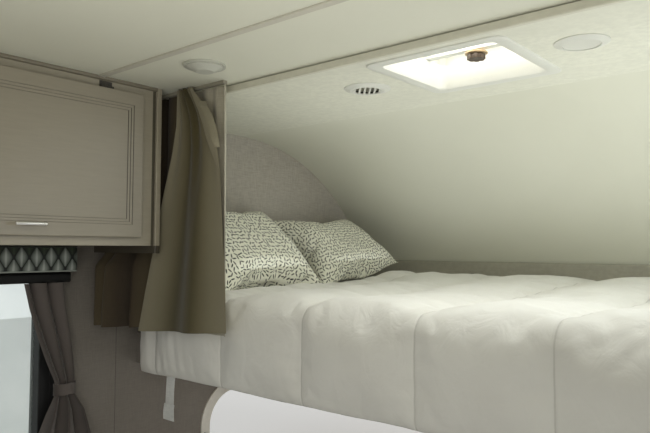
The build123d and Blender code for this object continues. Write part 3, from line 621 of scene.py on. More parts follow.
def plywood_material():
    """Bare veneer with a wandering grain, plies on the edges."""
    finish, tree, coords = start_material("bare_plywood", 0.7)
    bent = add_noise(tree, add_mapping(tree, coords, scale=(1.2, 9, 9)), 1.0, 3.0)
    place = axes(tree, coords)
    rings = add_math(tree, "SINE", add_math(tree, "MULTIPLY_ADD", place["Y"], 260.0,
                                            add_math(tree, "MULTIPLY", bent, 34.0)))
    face = add_mix(tree, add_range(tree, rings, -1, 1), (0.46, 0.32, 0.19, 1), (0.62, 0.47, 0.30, 1))
    plies = add_math(tree, "SINE", add_math(tree, "MULTIPLY", place["Z"], 1700.0))
    edge = add_mix(tree, add_range(tree, plies, -0.3, 0.3), (0.36, 0.24, 0.14, 1), (0.60, 0.45, 0.28, 1))
    up = add_math(tree, "ABSOLUTE", axes(tree, add_node(tree, "NewGeometry")["Normal"])["Z"])
    return paint(finish, Base_Color=add_mix(tree, add_math(tree, "GREATER_THAN", up, 0.5), edge, face),
                 Normal=add_bump(tree, bent, 0.0002))


def metal_material(name, color, roughness, stretch):
    """Brushed metal with fine lines along one axis."""
    finish, tree, coords = start_material(name, roughness)
    lines = add_noise(tree, add_mapping(tree, coords, scale=stretch), 1.0, 4.0, 0.7)
    return paint(finish, Base_Color=add_mix(tree, lines, tint(color, 0.86), tint(color, 1.05)), Metallic=1.0,
                 Roughness=add_range(tree, lines, 0.2, 0.8, roughness * 0.75, roughness * 1.3),
                 Normal=add_bump(tree, lines, 0.00004))


def glass_material():
    finish, tree, coords = start_material("tinted_glass", 0.02)
    dust = uneven(tree, coords, 14.0)
    return paint(finish, Base_Color=add_mix(tree, dust, (0.78, 0.85, 0.83, 1), (0.84, 0.90, 0.88, 1)),
                 Roughness=add_range(tree, dust, 0, 1, 0.01, 0.05), Transmission_Weight=0.9, IOR=1.1)


def lid_material():
    """Milky moulding whose underside glows: painted light, an emission standing in for the sky shining
    through.
    """
    finish, tree, coords = start_material("milky_lid_painted_glow", 0.45)
    tone = uneven(tree, coords, 12.0)
    # painted light: the inner layer glows
    inside = tree.nodes.new("ShaderNodeAttribute")
    inside.attribute_name = "inside"
    return paint(finish, Base_Color=add_mix(tree, tone, (0.90, 0.90, 0.875, 1), (0.95, 0.95, 0.93, 1)),
                 Emission_Color=add_mix(tree, inside.outputs["Fac"], (0, 0, 0, 1), (1.0, 1.0, 0.96, 1)),
                 Emission_Strength=1.0, Normal=add_bump(tree, add_noise(tree, coords, 500.0), 0.0002))


def sprig_material():
    """Cream cotton strewn with short dark strokes that point every way."""
    finish, tree, coords = start_material("sprigged_cotton", 0.88, uv=True)
    half_length, half_width = SPRIG_SIZE
    cells = tree.nodes.new("ShaderNodeTexVoronoi")
    cells.voronoi_dimensions = "2D"
    tree.links.new(coords, cells.inputs["Vector"])
    cells.inputs["Scale"].default_value = 1 / SPRIG_PITCH
    cells.inputs["Randomness"].default_value = 0.50
    offset = tree.nodes.new("ShaderNodeVectorMath")
    offset.operation = "SUBTRACT"
    tree.links.new(coords, offset.inputs[0])
    tree.links.new(cells.outputs["Position"], offset.inputs[1])
    angle = add_math(tree, "MULTIPLY", axes(tree, cells.outputs["Color"])["X"], 2 * pi)
    ox, oy, _ = axes(tree, offset.outputs["Vector"])
    c, s = add_math(tree, "COSINE", angle), add_math(tree, "SINE", angle)
    run = add_math(tree, "ADD", add_math(tree, "MULTIPLY", ox, c), add_math(tree, "MULTIPLY", oy, s))
    off = add_math(tree, "SUBTRACT", add_math(tree, "MULTIPLY", oy, c), add_math(tree, "MULTIPLY", ox, s))
    run = add_math(tree, "DIVIDE", add_math(tree, "ABSOLUTE", run), half_length)
    off = add_math(tree, "DIVIDE", add_math(tree, "ABSOLUTE", off), half_width)
    covered = add_range(tree, add_math(tree, "ADD", add_math(tree, "POWER", run, 3.0), off), 1.15, 0.85)
    weave = place_group(tree, WEAVE, Vector=coords, Threads=3200.0)
    cream = add_mix(tree, weave["Shade"], (0.76, 0.75, 0.62, 1), (0.86, 0.85, 0.72, 1))
    return paint(finish, Base_Color=add_mix(tree, covered, cream, (0.028, 0.030, 0.018, 1)),
                 Normal=add_bump(tree, weave["Height"], 0.0002), Sheen_Weight=0.12)


SPRIG_SIZE = (0.0088, 0.0024)
SPRIG_PITCH = 0.0160


def lattice_material():
    """Dark cloth with a lattice of pale diamonds that glow towards their middles."""
    finish, tree, coords = start_material("lattice_cloth", 0.75, uv=True)
    u, v, _ = axes(tree, coords)
    pitch, rise, middle = LATTICE
    across = add_math(tree, "COSINE", add_math(tree, "MULTIPLY", u, 2 * pi / pitch))
    upward = add_math(tree, "SUBTRACT", v, middle)
    ripple = add_math(tree, "COSINE", add_math(tree, "MULTIPLY", upward, 2 * pi / rise))
    both = add_math(tree, "ADD", across, ripple)
    above = add_math(tree, "GREATER_THAN", upward, 0.0)
    almond = add_range(tree, both, 0.10, 0.28)
    between = add_range(tree, both, -0.10, -0.28)
    streak = add_range(tree, add_math(tree, "ABSOLUTE", across), 0.80, 1.0, 0.0, 0.35, smooth=True)
    glow = add_range(tree, add_math(tree, "ABSOLUTE", both), 0.2, 2.1, 0.0, 0.65)
    glow = add_math(tree, "ADD", glow, streak)
    pale = add_mix(tree, glow, (0.050, 0.062, 0.050, 1), (0.42, 0.45, 0.41, 1))
    low = add_mix(tree, above, pale, add_mix(tree, glow, (0.010, 0.014, 0.008, 1), (0.045, 0.062, 0.036, 1)))
    color = add_mix(tree, almond, (0.006, 0.007, 0.006, 1), pale)
    color = add_mix(tree, between, color, low)
    weave = place_group(tree, WEAVE, Vector=coords, Threads=2200.0)
    return paint(finish, Base_Color=color, Normal=add_bump(tree, weave["Height"], 0.0003))


LATTICE = (0.0465, 0.074, 0.046)


QUILT_SEAMS_X = (-1.058, -0.721, -0.384, -0.021, 0.312, 0.649, 0.986)


def quilt_material():
    """White cotton, finely woven, with soft creases too small to model."""
    finish, tree, coords = start_material("white_quilt_cotton", 0.85)
    weave = place_group(tree, WEAVE, Vector=coords, Threads=3000.0, Slub=0.3)
    creases = add_node(tree, "TexNoise", Vector=add_mapping(tree, coords, scale=(9, 9, 6)), Scale=1.6,
                       Detail=5, Distortion=0.7)
    tone = uneven(tree, coords, 4.0)
    across = axes(tree, coords)["X"]
    apart = None
    for seam in QUILT_SEAMS_X:
        away = add_math(tree, "ABSOLUTE", add_math(tree, "SUBTRACT", across, seam))
        apart = away if apart is None else add_math(tree, "MINIMUM", apart, away)
    stitched = add_range(tree, apart, 0.0030, 0.0008)
    cotton = add_mix(tree, tone, (0.76, 0.745, 0.69, 1), (0.82, 0.81, 0.755, 1))
    soft = add_bump(tree, creases["Fac"], 0.010, 0.55)
    soft = add_bump(tree, add_range(tree, apart, 0.0, 0.008, smooth=True), 0.002, onto=soft)
    return paint(finish, Base_Color=add_mix(tree, stitched, cotton, (0.64, 0.625, 0.575, 1)),
                 Normal=add_bump(tree, weave["Height"], 0.0002, onto=soft),
                 Sheen_Weight=0.2, Specular_IOR_Level=0.2)


FINISHES = {
    "wall_board": wall_material(),
    "gelcoat": shell_material(),
    "ceiling_board": board_material("ceiling_vinyl", (0.69, 0.685, 0.580), 0.55, fibre=0.008),
    "sill_board": board_material("sill_foil", (0.350, 0.333, 0.265), 0.5),
    "plywood": plywood_material(),
    "locker_board": board_material("greige_foil", (0.285, 0.255, 0.193), 0.38),
    "satin_steel": metal_material("satin_steel", (0.74, 0.73, 0.70), 0.30, (700, 30, 700)),
    "aluminium_trim": metal_material("mill_aluminium", (0.80, 0.80, 0.80), 0.36, (30, 30, 900)),
    "amber_lens": moulded_material("amber_lens", (0.78, 0.26, 0.02), 0.16, wear=0.1),
    "trim_plastic": moulded_material("off_white_plastic", (0.73, 0.73, 0.66), 0.40, gloss=0.4),
    "lens_plastic": moulded_material("frosted_lens", (0.50, 0.50, 0.43), 0.35, wear=0.1),
    "lid_plastic": lid_material(),
    "knob_plastic": moulded_material("brown_knob", (0.075, 0.050, 0.030), 0.45),
    "black_frame": moulded_material("black_frame_coat", (0.010, 0.010, 0.010), 0.45, gloss=0.25),
    "black_plastic": moulded_material("black_housing", (0.007, 0.007, 0.006), 0.55, gloss=0.2),
    "window_glass": glass_material(),
    "valance_cloth": lattice_material(),
    # the drapes' and the curtain panels' upright bands are painted light and shade of their folds
    "drape_cloth": band_shaded_cloth_material("drape_weave_painted_bands", (0.066, 0.055, 0.049), (0.128, 0.109, 0.098),
                                        0.105, 1.2),
    "curtain_cloth": band_shaded_cloth_material("curtain_weave_painted_bands", (0.080, 0.065, 0.026), (0.270, 0.243, 0.167),
                                          0.46, 0.20),
    "white_quilt": quilt_material(),
    "pillow_cotton": sprig_material(),
    "mattress_ticking": cloth_material("mattress_ticking", (0.62, 0.61, 0.57), 1500.0, 0.0005, uv=False),
    "white_tape": cloth_material("white_tape_weave", (0.86, 0.87, 0.84), 2600.0, 0.0004),
}


def door_material():
    """Door foil, with soft dark lines at the routed steps: painted shade in the grooves, stronger on the
    uprights than on the rails.
    """
    finish = board_material("door_foil", LOCKER_COLOR, 0.36)
    tree, place = own_axes(finish)
    low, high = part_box("locker_door_left")
    reach = []
    for axis, name, border in ((1, "Y", DOOR_STILE), (2, "Z", DOOR_RAIL)):
        middle, half = (low[axis] + high[axis]) / 2, (high[axis] - low[axis]) / 2
        away = add_math(tree, "ABSOLUTE", add_math(tree, "SUBTRACT", place[name], middle))
        reach.append(add_math(tree, "SUBTRACT", away, half - border))
    inward = add_math(tree, "MAXIMUM", *reach)
    # painted shade along each step's groove, weighted more on the uprights, which face away from the light
    lines = None
    for step in range(3):
        line = add_math(tree, "ABSOLUTE", add_math(tree, "ADD", inward, DOOR_STEP * step))
        line = add_range(tree, line, 0.0012, 0.0004)
        lines = line if lines is None else add_math(tree, "MAXIMUM", lines, line)
    upright = add_range(tree, add_math(tree, "GREATER_THAN", *reach), 0.0, 1.0, 0.40, 0.90)
    return repaint(finish, add_math(tree, "MULTIPLY", lines, upright), (0.060, 0.050, 0.032, 1))


def frame_material():
    """Face frame, with painted shade for the shadow gap beside the end panel's edge."""
    finish = board_material("frame_foil", FRAME_COLOR, 0.38)
    tree, place = own_axes(finish)
    half = 0.0055
    # painted shade: a dark band where the gap beside the end panel lies in shadow
    shadow_gap = add_math(tree, "COMPARE", place["Y"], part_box("locker_left")[1][1] - half, half)
    return repaint(finish, add_math(tree, "MULTIPLY", shadow_gap, 0.9), (0.050, 0.043, 0.026, 1))


def end_panel_material():
    """End panels in the face frame's foil, darkened with painted shade below the locker's floor, where shade
    falls.
    """
    finish = board_material("end_panel_foil", FRAME_COLOR, 0.38)
    tree, place = own_axes(finish)
    # painted shade below the locker's floor
    base = add_math(tree, "LESS_THAN", place["Z"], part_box("locker_left")[0][2] + 0.0005)
    return repaint(finish, base, (0.070, 0.060, 0.043, 1))


def register_material():
    """White louvre, darkened inside towards its duct with painted shade."""
    finish = moulded_material("register_plastic", (0.68, 0.68, 0.61), 0.36)
    tree, place = own_axes(finish)
    across = add_math(tree, "SUBTRACT", place["X"], LOUVRE_AT[0])
    ahead = add_math(tree, "SUBTRACT", place["Y"], LOUVRE_AT[1])
    reach = add_math(tree, "SQRT", add_math(tree, "ADD", add_math(tree, "MULTIPLY", across, across),
                                            add_math(tree, "MULTIPLY", ahead, ahead)))
    inside = add_math(tree, "LESS_THAN", reach, LOUVRE_REACH)
    # painted shade: the recess behind the vanes is coloured near-black
    deep = add_range(tree, place["Z"], ALCOVE_CEILING - 0.0062, ALCOVE_CEILING - 0.0030)
    return repaint(finish, add_math(tree, "MULTIPLY", inside, deep), (0.006, 0.006, 0.005, 1))


# the doors and the face frame are faced with one foil, set in two tones: the doors darker and the frame and
# end panels lighter, painted shade and painted light for how the light falls on them
LOCKER_COLOR = (0.272, 0.242, 0.182)
FRAME_COLOR = (0.335, 0.300, 0.227)
LOUVRE_AT, LOUVRE_REACH = (-0.330, -0.520), 0.0435
DOOR_STILE, DOOR_RAIL, DOOR_STEP = 0.034, 0.038, 0.008
NODE_FINISHES = {
    "locker_door_left": door_material(),
    "header_rail": board_material("header_foil", (0.62, 0.605, 0.495), 0.5),
    "ceiling_batten": board_material("batten_foil", (0.53, 0.505, 0.42), 0.5),
    # painted shade: the hinge leaves are near-black, standing in for the dark shade line along the doors'
    # tops
    "frame_hinge_leaves": moulded_material("near_black_hinge_painted_shade", (0.040, 0.034, 0.025), 0.42, wear=0.6),
    "locker_left": frame_material(),
    "locker_crowns": board_material("crown_foil", (0.180, 0.158, 0.112), 0.40),
    "locker_ends": end_panel_material(),
    "air_registers": register_material(),
    "cab_arch_trims": moulded_material("arch_trim_plastic", (0.74, 0.72, 0.65), 0.40),
    "curtain_tracks": moulded_material("track_plastic", (0.30, 0.28, 0.22), 0.45),
}
for twin, first in (("locker_door_right", "locker_door_left"), ("locker_right", "locker_left"),
                    ("door_hinge_leaves_left", "frame_hinge_leaves"),
                    ("door_hinge_leaves_right", "frame_hinge_leaves")):
    NODE_FINISHES[twin] = NODE_FINISHES[first]


def dress_cad_nodes():
    """Every CAD node gets its slot's finish; loose triangles are welded, and board edges eased."""
    for part in frame["record"]["subparts"]:
        piece = nodes[part["node"]]
        finish = NODE_FINISHES.get(part["node"], FINISHES[part["material_slot"]])
        if not piece.material_slots:
            piece.data.materials.append(finish)
        for place in piece.material_slots:
            place.material = finish
    for name, width in EASED_EDGES.items():
        modify(nodes[name], "weld", "WELD", live=True, merge_threshold=0.00002)
        modify(nodes[name], "eased_edges", "BEVEL", live=True, limit_method="ANGLE", angle_limit=radians(40),
               width=width, segments=2, use_clamp_overlap=True, harden_normals=True)


EASED_EDGES = {
    "locker_left": 0.0012, "locker_right": 0.0012, "locker_ends": 0.0015, "locker_door_left": 0.0009,
    "locker_door_right": 0.0009, "header_rail": 0.0010, "shade_cassettes": 0.0010,
    "marker_lights": 0.0050, "hatch_frame": 0.0012, "ceiling_batten": 0.0010,
    "window_frames": 0.0025, "locker_pull_left": 0.0014, "locker_pull_right": 0.0014,
}


# Shell

def nose_shell():
    """Front cap and its liner: a rounded slab's section spun about the nose's axis, cut level below."""
    low = (-WALL_OUT, NOSE_CENTER.y - 0.001, NOSE_CENTER.z + NOSE_RADIUS)
    high = (WALL_OUT, NOSE_CENTER.y + 0.001, NOSE_CENTER.z + NOSE_OUTER)
    cap = start_box("nose_shell", low, high)
    round_edges(cap, 0.036, 8, lambda e: middle_of(e).z > high[2] - 0.001 and abs(middle_of(e).x) > 1.28)
    pick(cap, "FACE", lambda f: abs(f.normal.y) < 0.5 or f.normal.y > 0.5)
    bpy.ops.mesh.delete(type="FACE")
    pick(cap, "FACE", lambda f: True)
    bpy.ops.transform.translate(value=(0, 0.001, 0))
    bpy.ops.mesh.spin(steps=56, angle=radians(90), center=NOSE_CENTER, axis=(1, 0, 0))
    bpy.ops.mesh.select_all(action="SELECT")
    bpy.ops.mesh.bisect(plane_co=(0, 0, 0.0), plane_no=(0, 0, -1), use_fill=True, clear_outer=True)
    edit_all(cap, weld=0.00001)
    round_edges(cap, 0.012, 4, lambda e: abs(middle_of(e).z) < 0.0005 and middle_of(e).y > 0.82)
    return dress(cap, FINISHES["gelcoat"], replaces=("nose_cap",))


def roof_shell():
    """Roof slab with rounded shoulders and the hatch's cut-out."""
    low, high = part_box("roof_panel")
    slab = start_box("roof_shell", low, high)
    round_edges(slab, 0.036, 8, lambda e: middle_of(e).z > high[2] - 0.001 and abs(middle_of(e).x) > 1.28)
    half = HATCH_CUT_HALF
    cutter = start_box("cutter", (-half, HATCH_Y - half, 0.80), (half, HATCH_Y + half, 1.0))
    cut_away(slab, cutter)
    return dress(slab, FINISHES["gelcoat"], replaces=("roof_panel",))


# Roof hatch

def square_tube(name, rings, center_y, segments=6):
    """Rounded square shell through rings of (half size, corner radius, height), open at both ends."""
    points, faces = [], []
    count = 4 * (segments + 1)
    for half, radius, height in rings:
        for corner in range(4):
            for step in range(segments + 1):
                turn = radians(90 * corner + 90 * step / segments)
                sx = (1, -1, -1, 1)[corner]
                sy = (1, 1, -1, -1)[corner]
                points.append((sx * (half - radius) + radius * cos(turn),
                               center_y + sy * (half - radius) + radius * sin(turn), height))
    for ring in range(len(rings) - 1):
        for index in range(count):
            after = (index + 1) % count
            faces.append((ring * count + index, ring * count + after,
                          (ring + 1) * count + after, (ring + 1) * count + index))
    return close_mesh(name, points, faces)


def hatch_trim():
    """Ceiling trim of the hatch: thin rolled flange and glossy funnel, one closed moulding."""
    low = ALCOVE_CEILING - 0.004
    outer = [(0.1960, 0.032, low + 0.004), (0.1960, 0.032, low + 0.0018), (0.1948, 0.031, low + 0.0004),
             (0.1930, 0.030, low), (0.1665, 0.022, low), (0.1615, 0.020, low + 0.0012),
             (0.1598, 0.020, low + 0.0050), (0.1480, 0.030, low + 0.0660),
             (0.1508, 0.032, low + 0.0660), (0.1632, 0.022, low + 0.0080), (0.1645, 0.023, low + 0.0040)]
    trim = square_tube("hatch_trim", outer + outer[:1], HATCH_Y)
    edit_all(trim, weld=0.00001)
    return dress(trim, FINISHES["trim_plastic"], replaces=("hatch_garnish",), angle=50)


def hatch_dome():
    """Domed lid with a rolled skirt and a stiffening step, closed inside and out."""
    low = ROOF_TOP + 0.010
    outside = [(0.2000, 0.034, low), (0.2000, 0.034, low + 0.024), (0.1985, 0.034, low + 0.030),
               (0.1945, 0.034, low + 0.0335), (0.1700, 0.036, low + 0.0400), (0.1660, 0.036, low + 0.0425),
               (0.1300, 0.040, low + 0.0530), (0.0900, 0.044, low + 0.0570), (0.0500, 0.040, low + 0.0578),
               (0.0100, 0.009, low + 0.0580)]
    inside = [(half - 0.004, max(radius - 0.003, 0.004), max(height - 0.004, low))
              for half, radius, height in outside]
    lid = square_tube("hatch_dome", inside[::-1] + outside, HATCH_Y)
    # the inner layer's points are marked for the lid's painted glow
    under = lid.data.attributes.new("inside", "FLOAT", "POINT")
    under.data.foreach_set("value", [float(2 * i < len(under.data)) for i in range(len(under.data))])
    activate(lid)
    bpy.ops.object.mode_set(mode="EDIT")
    bpy.ops.mesh.select_all(action="DESELECT")
    bpy.ops.mesh.select_non_manifold(extend=False)
    bpy.ops.mesh.edge_face_add()
    leave()
    pick(lid, "EDGE", lambda e: e.is_boundary)
    bpy.ops.mesh.edge_face_add()
    edit_all(lid)
    return dress(lid, FINISHES["lid_plastic"], body="lid", angle=50)


def flat_rim(edge):
    return abs(edge.verts[0].co.z - edge.verts[1].co.z) < 1e-5


def hatch_knob_piece():
    """Fluted knob below its plate, hung on its stem from the operator bar."""
    low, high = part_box("hatch_knob")
    y = (low[1] + high[1]) / 2
    grip_top = low[2] + 0.014
    knob = start_cylinder("hatch_crank_knob", (0, y, grip_top - 0.007), 0.025, 0.014, sides=64)
    pick(knob, "VERT", lambda v: (v.co.xy - Vector((0, y))).length > 0.01
         and round(atan2(v.co.y - y, v.co.x) / (2 * pi / 64)) % 8 in (0, 1, 7))
    bpy.ops.transform.resize(value=(0.86, 0.86, 1), center_override=(0, y, 0))
    leave()
    pick(knob, "FACE", lambda f: f.normal.z < -0.9)
    bpy.ops.mesh.inset(thickness=0.006)
    bpy.ops.transform.translate(value=(0, 0, 0.0016))
    leave()
    round_edges(knob, 0.0012, 2, lambda e: flat_rim(e) and sharp_edges(e))
    stem = start_cylinder("stem", (0, y, (grip_top + high[2]) / 2), 0.007, high[2] - grip_top, sides=24)
    whole = join("hatch_crank_knob", [knob, stem])
    dress(whole, FINISHES["knob_plastic"], replaces=("hatch_knob",))
    plate = start_cylinder("knob_plate", (0, y, grip_top + 0.0035), 0.031, 0.004, sides=64)
    round_edges(plate, 0.0012, 2, flat_rim)
    return dress(plate, moulded_material("tan_plate", (0.50, 0.36, 0.20), 0.45))


# Bedding

HEM_Z = -0.076
FALL_Y = DECK_BACK - 0.050
QUILT_HALF, QUILT_LENGTH, QUILT_THICKNESS = 1.168, 1.700, 0.034
QUILT_BEND = 0.055
QUILT_TOP = DUVET_TOP - 0.021


def quilt_path(distance):
    """Point and outward normal on the quilt's upper face, this far up from its hem and over the berth."""
    fall = QUILT_TOP - QUILT_BEND - HEM_Z
    if distance < fall:
        return Vector((0, FALL_Y, HEM_Z + distance)), Vector((0, -1, 0))
    turn = (distance - fall) / QUILT_BEND
    if turn < pi / 2:
        return (Vector((0, FALL_Y + QUILT_BEND * (1 - cos(turn)), QUILT_TOP - QUILT_BEND * (1 - sin(turn)))),
                Vector((0, -cos(turn), sin(turn))))
    return (Vector((0, FALL_Y + QUILT_BEND + distance - fall - QUILT_BEND * pi / 2, QUILT_TOP)),
            Vector((0, 0, 1)))


def quilt_heap(x, y):
    """Height of the pushed-up cloth beside the far pillow."""
    return 0.046 * exp(-((x + 0.76) / 0.19) ** 2 - ((y - 0.36) / 0.22) ** 2)


def quilt_rise(x, y):
    """Height the cloth gains towards the nose, where it is bunched against the sill."""
    return 0.022 * smoothstep(-0.30, 0.30, y) * smoothstep(-0.66, -0.40, x)


def quilt_point(x, distance, seams):
    """Face of the quilt before it is blown up: low at its seams and rim, with a slow unevenness."""
    base, normal = quilt_path(distance)
    near = min(abs(x - seam) for seam in seams)
    on_top = smoothstep(0.24, 0.36, distance)
    dip = -0.005 * exp(-(near / 0.020) ** 2)
    pleats = 0.0
    if x < -0.80:
        pleats = 0.0032 * sin(x * 2 * pi / 0.046 + 2 * noise.noise(Vector((x * 9, distance * 4, 1))))
        pleats *= smoothstep(-0.76, -1.0, x) * (1 - on_top)
    broad = (0.004 + 0.010 * on_top) * noise.noise(Vector((x * 2.3, distance * 2.4, 4.0)))
    fine = (0.0015 + 0.006 * on_top) * noise.noise(Vector((x * 11, distance * 15, 7.0)))
    edge = smoothstep(0, 0.05, QUILT_HALF - abs(x)) * smoothstep(0, 0.035, distance)
    point = base + normal * ((dip + pleats + broad + fine) * edge - 0.014 * (1 - edge) ** 2)
    point.z += (quilt_heap(x, base.y) + quilt_rise(x, base.y)) * on_top
    point.z += 0.005 * noise.noise(Vector((x * 5, 0, 9))) * smoothstep(0.12, 0.0, distance)
    point.x = x
    return point


def make_quilt():
    """Quilt: a face sewn down along its seams and blown up into creased channels, on a smooth back."""
    columns, rows = 150, 108
    pitch = 2 * QUILT_HALF / columns
    seams = [round(seam / pitch) * pitch for seam in QUILT_SEAMS_X]
    points = [quilt_point(-QUILT_HALF + pitch * column, QUILT_LENGTH * row / rows, seams)
              for row in range(rows + 1) for column in range(columns + 1)]
    stride = columns + 1
    faces = [(a, a + 1, a + stride + 1, a + stride)
             for row in range(rows) for a in range(row * stride, row * stride + columns)]
    face = close_mesh("quilt_face", points, faces)
    held = face.vertex_groups.new(name="sewn")
    held.add([row * stride + column for row in range(rows + 1) for column in range(columns + 1)
              if row in (0, rows) or column in (0, columns)
              or min(abs(-QUILT_HALF + pitch * column - seam) for seam in seams) < 0.001], 1.0, "REPLACE")
    loose = face.vertex_groups.new(name="crumpled")
    for row in range(rows + 1):
        loose.add(range(row * stride, row * stride + stride),
                  smoothstep(0.14, 0.30, QUILT_LENGTH * row / rows), "REPLACE")
    inflate(face, 1.5, 16, (0.016, 0.085), 0.021, sewn="sewn", loose="crumpled", bending=0.12)
    points = [vertex.co.copy() for vertex in face.data.vertices]
    for point in points:
        under = smoothstep(-0.80, -0.90, point.x) * smoothstep(-0.70, -0.60, point.y) \
            * smoothstep(0.56, 0.46, point.y)
        point.z -= under * max(point.z - (QUILT_TOP + quilt_heap(point.x, point.y) - 0.003), 0.0)
    bpy.data.objects.remove(face)
    layer = len(points)
    for row in range(rows + 1):
        for column in range(columns + 1):
            base, normal = quilt_path(QUILT_LENGTH * row / rows)
            point = base - normal * QUILT_THICKNESS
            point.x = -QUILT_HALF + pitch * column
            point.z += points[row * stride + column].z - base.z if row == 0 else 0
            points.append(point)
    faces += [(layer + a, layer + a + stride, layer + a + stride + 1, layer + a + 1)
              for row in range(rows) for a in range(row * stride, row * stride + columns)]
    rim = (list(range(columns)) + [r * stride + columns for r in range(rows)]
           + [rows * stride + c for c in range(columns, 0, -1)] + [r * stride for r in range(rows, 0, -1)])
    faces += [(a, layer + a, layer + b, b) for a, b in zip(rim, rim[1:] + rim[:1])]
    quilt = close_mesh("quilt", points, faces)
    edit_all(quilt)
    subdivide(quilt)
    return dress(quilt, FINISHES["white_quilt"], replaces=("duvet",), angle=80)


def inflate(piece, pressure, frames, slack, cap, sewn="", loose="", bending=0.3):
    """Blows the closed cloth up for a few frames, keeping every point within the cap."""
    start = [vertex.co.copy() for vertex in piece.data.vertices]
    activate(piece)
    cloth = piece.modifiers.new("inflate", "CLOTH")
    cloth.settings.quality = 6
    cloth.settings.mass = 0.3
    cloth.settings.tension_stiffness = 15
    cloth.settings.compression_stiffness = 15
    cloth.settings.shear_stiffness = 5
    cloth.settings.bending_stiffness = bending
    cloth.settings.vertex_group_mass = sewn
    cloth.settings.use_pressure = True
    cloth.settings.uniform_pressure_force = pressure
    cloth.settings.shrink_min = -slack[0]
    cloth.settings.shrink_max = -slack[-1]
    cloth.settings.vertex_group_shrink = loose
    cloth.settings.effector_weights.gravity = 0
    cloth.point_cache.frame_start = 1
    cloth.point_cache.frame_end = frames
    for step in range(1, frames + 1):
        bpy.context.scene.frame_set(step)
    bpy.ops.object.modifier_apply(modifier=cloth.name)
    bpy.context.scene.frame_set(1)
    for vertex, first in zip(piece.data.vertices, start):
        move = vertex.co - first
        if move.length > cap:
            vertex.co = first + move.normalized() * cap


def make_pillow(name, node, place, seed, goal, bed, lift=0.0):
    """Pillow blown up from two flat layers sewn round the rim, then set leaning on the wall."""
    width, length, thickness = 0.430, 0.600, goal[2]
    columns, rows = 48, 62
    points, flat, faces = [], [], []
    for side in (1, -1):
        for row in range(rows + 1):
            for column in range(columns + 1):
                u, v = 2 * column / columns - 1, 2 * row / rows - 1
                pull = 1 - 0.040 * (1 - v * v)
                pinch = 1 - 0.030 * (1 - u * u)
                crown = (1 - abs(u) ** 2.7) ** 0.5 * (1 - abs(v) ** 3.2) ** 0.5
                wave = 0.16 * noise.noise(Vector((u * 2.2 + seed, v * 2.2, side)))
                points.append(Vector((u * width / 2 * pull, v * length / 2 * pinch,
                                      side * thickness * 0.38 * crown * (1 + wave))))
                flat.append((u * width / 2 + (2 if side > 0 else 4) + seed, v * length / 2))
    stride, layer = columns + 1, (columns + 1) * (rows + 1)
    for row in range(rows):
        for column in range(columns):
            a = row * stride + column
            faces.append((a, a + 1, a + stride + 1, a + stride))
            faces.append((layer + a, layer + a + stride, layer + a + stride + 1, layer + a + 1))
    pillow = close_mesh(name, points, faces, flat)
    edit_all(pillow, weld=0.0002, outward=False)
    inflate(pillow, 5.0, 18, (0.07,), 0.060)
    low = [min(vertex.co[axis] for vertex in pillow.data.vertices) for axis in range(3)]
    high = [max(vertex.co[axis] for vertex in pillow.data.vertices) for axis in range(3)]
    fit = [goal[axis] / (high[axis] - low[axis]) for axis in range(3)]
    for vertex in pillow.data.vertices:
        for axis in range(3):
            vertex.co[axis] = (vertex.co[axis] - (low[axis] + high[axis]) / 2) * fit[axis]
    pillow.data.transform(place)
    settle_pillow(pillow, bed)
    for vertex in pillow.data.vertices:
        vertex.co.z += lift * smoothstep(0.26, 0.47, vertex.co.y) * smoothstep(-1.06, -0.90, vertex.co.x)
    subdivide(pillow)
    return dress(pillow, FINISHES["pillow_cotton"], replaces=(node,), angle=80)


def settle_pillow(pillow, bed):
    """Presses the pillow flat where it meets the quilt and the wall."""
    wall = -WALL_IN + 0.003
    for vertex in pillow.data.vertices:
        below = bed + quilt_heap(vertex.co.x, vertex.co.y)
        if vertex.co.z < below + 0.02:
            vertex.co.z = below + 0.02 * exp((vertex.co.z - below - 0.02) / 0.02)
        if vertex.co.x < wall + 0.02:
            vertex.co.x = wall + 0.02 * exp((vertex.co.x - wall - 0.02) / 0.02)


def pillow_place(middle, turn, lean, pitch):
    """Pillow's middle, its turn on the bed, its lean on the wall and its rise towards the nose."""
    return (Matrix.Translation(middle) @ Matrix.Rotation(radians(turn), 4, "Z")
            @ Matrix.Rotation(radians(pitch), 4, "X") @ Matrix.Rotation(radians(lean), 4, "Y"))


# Berth curtains

PANEL_Y = CURTAIN_Y - 0.020
REAR_HEM = ((0.083, -1.035), (0.214, -0.999), (0.365, -0.953), (0.512, -0.914), (0.657, -0.870),
            (0.744, -0.853), (0.846, -0.852))
LEAD_HEM = ((0.083, -0.600), (0.325, -0.614), (0.441, -0.625), (0.558, -0.636), (0.618, -0.646),
            (0.679, -0.661), (0.729, -0.680), (0.775, -0.704), (0.818, -0.743), (0.846, -0.772))


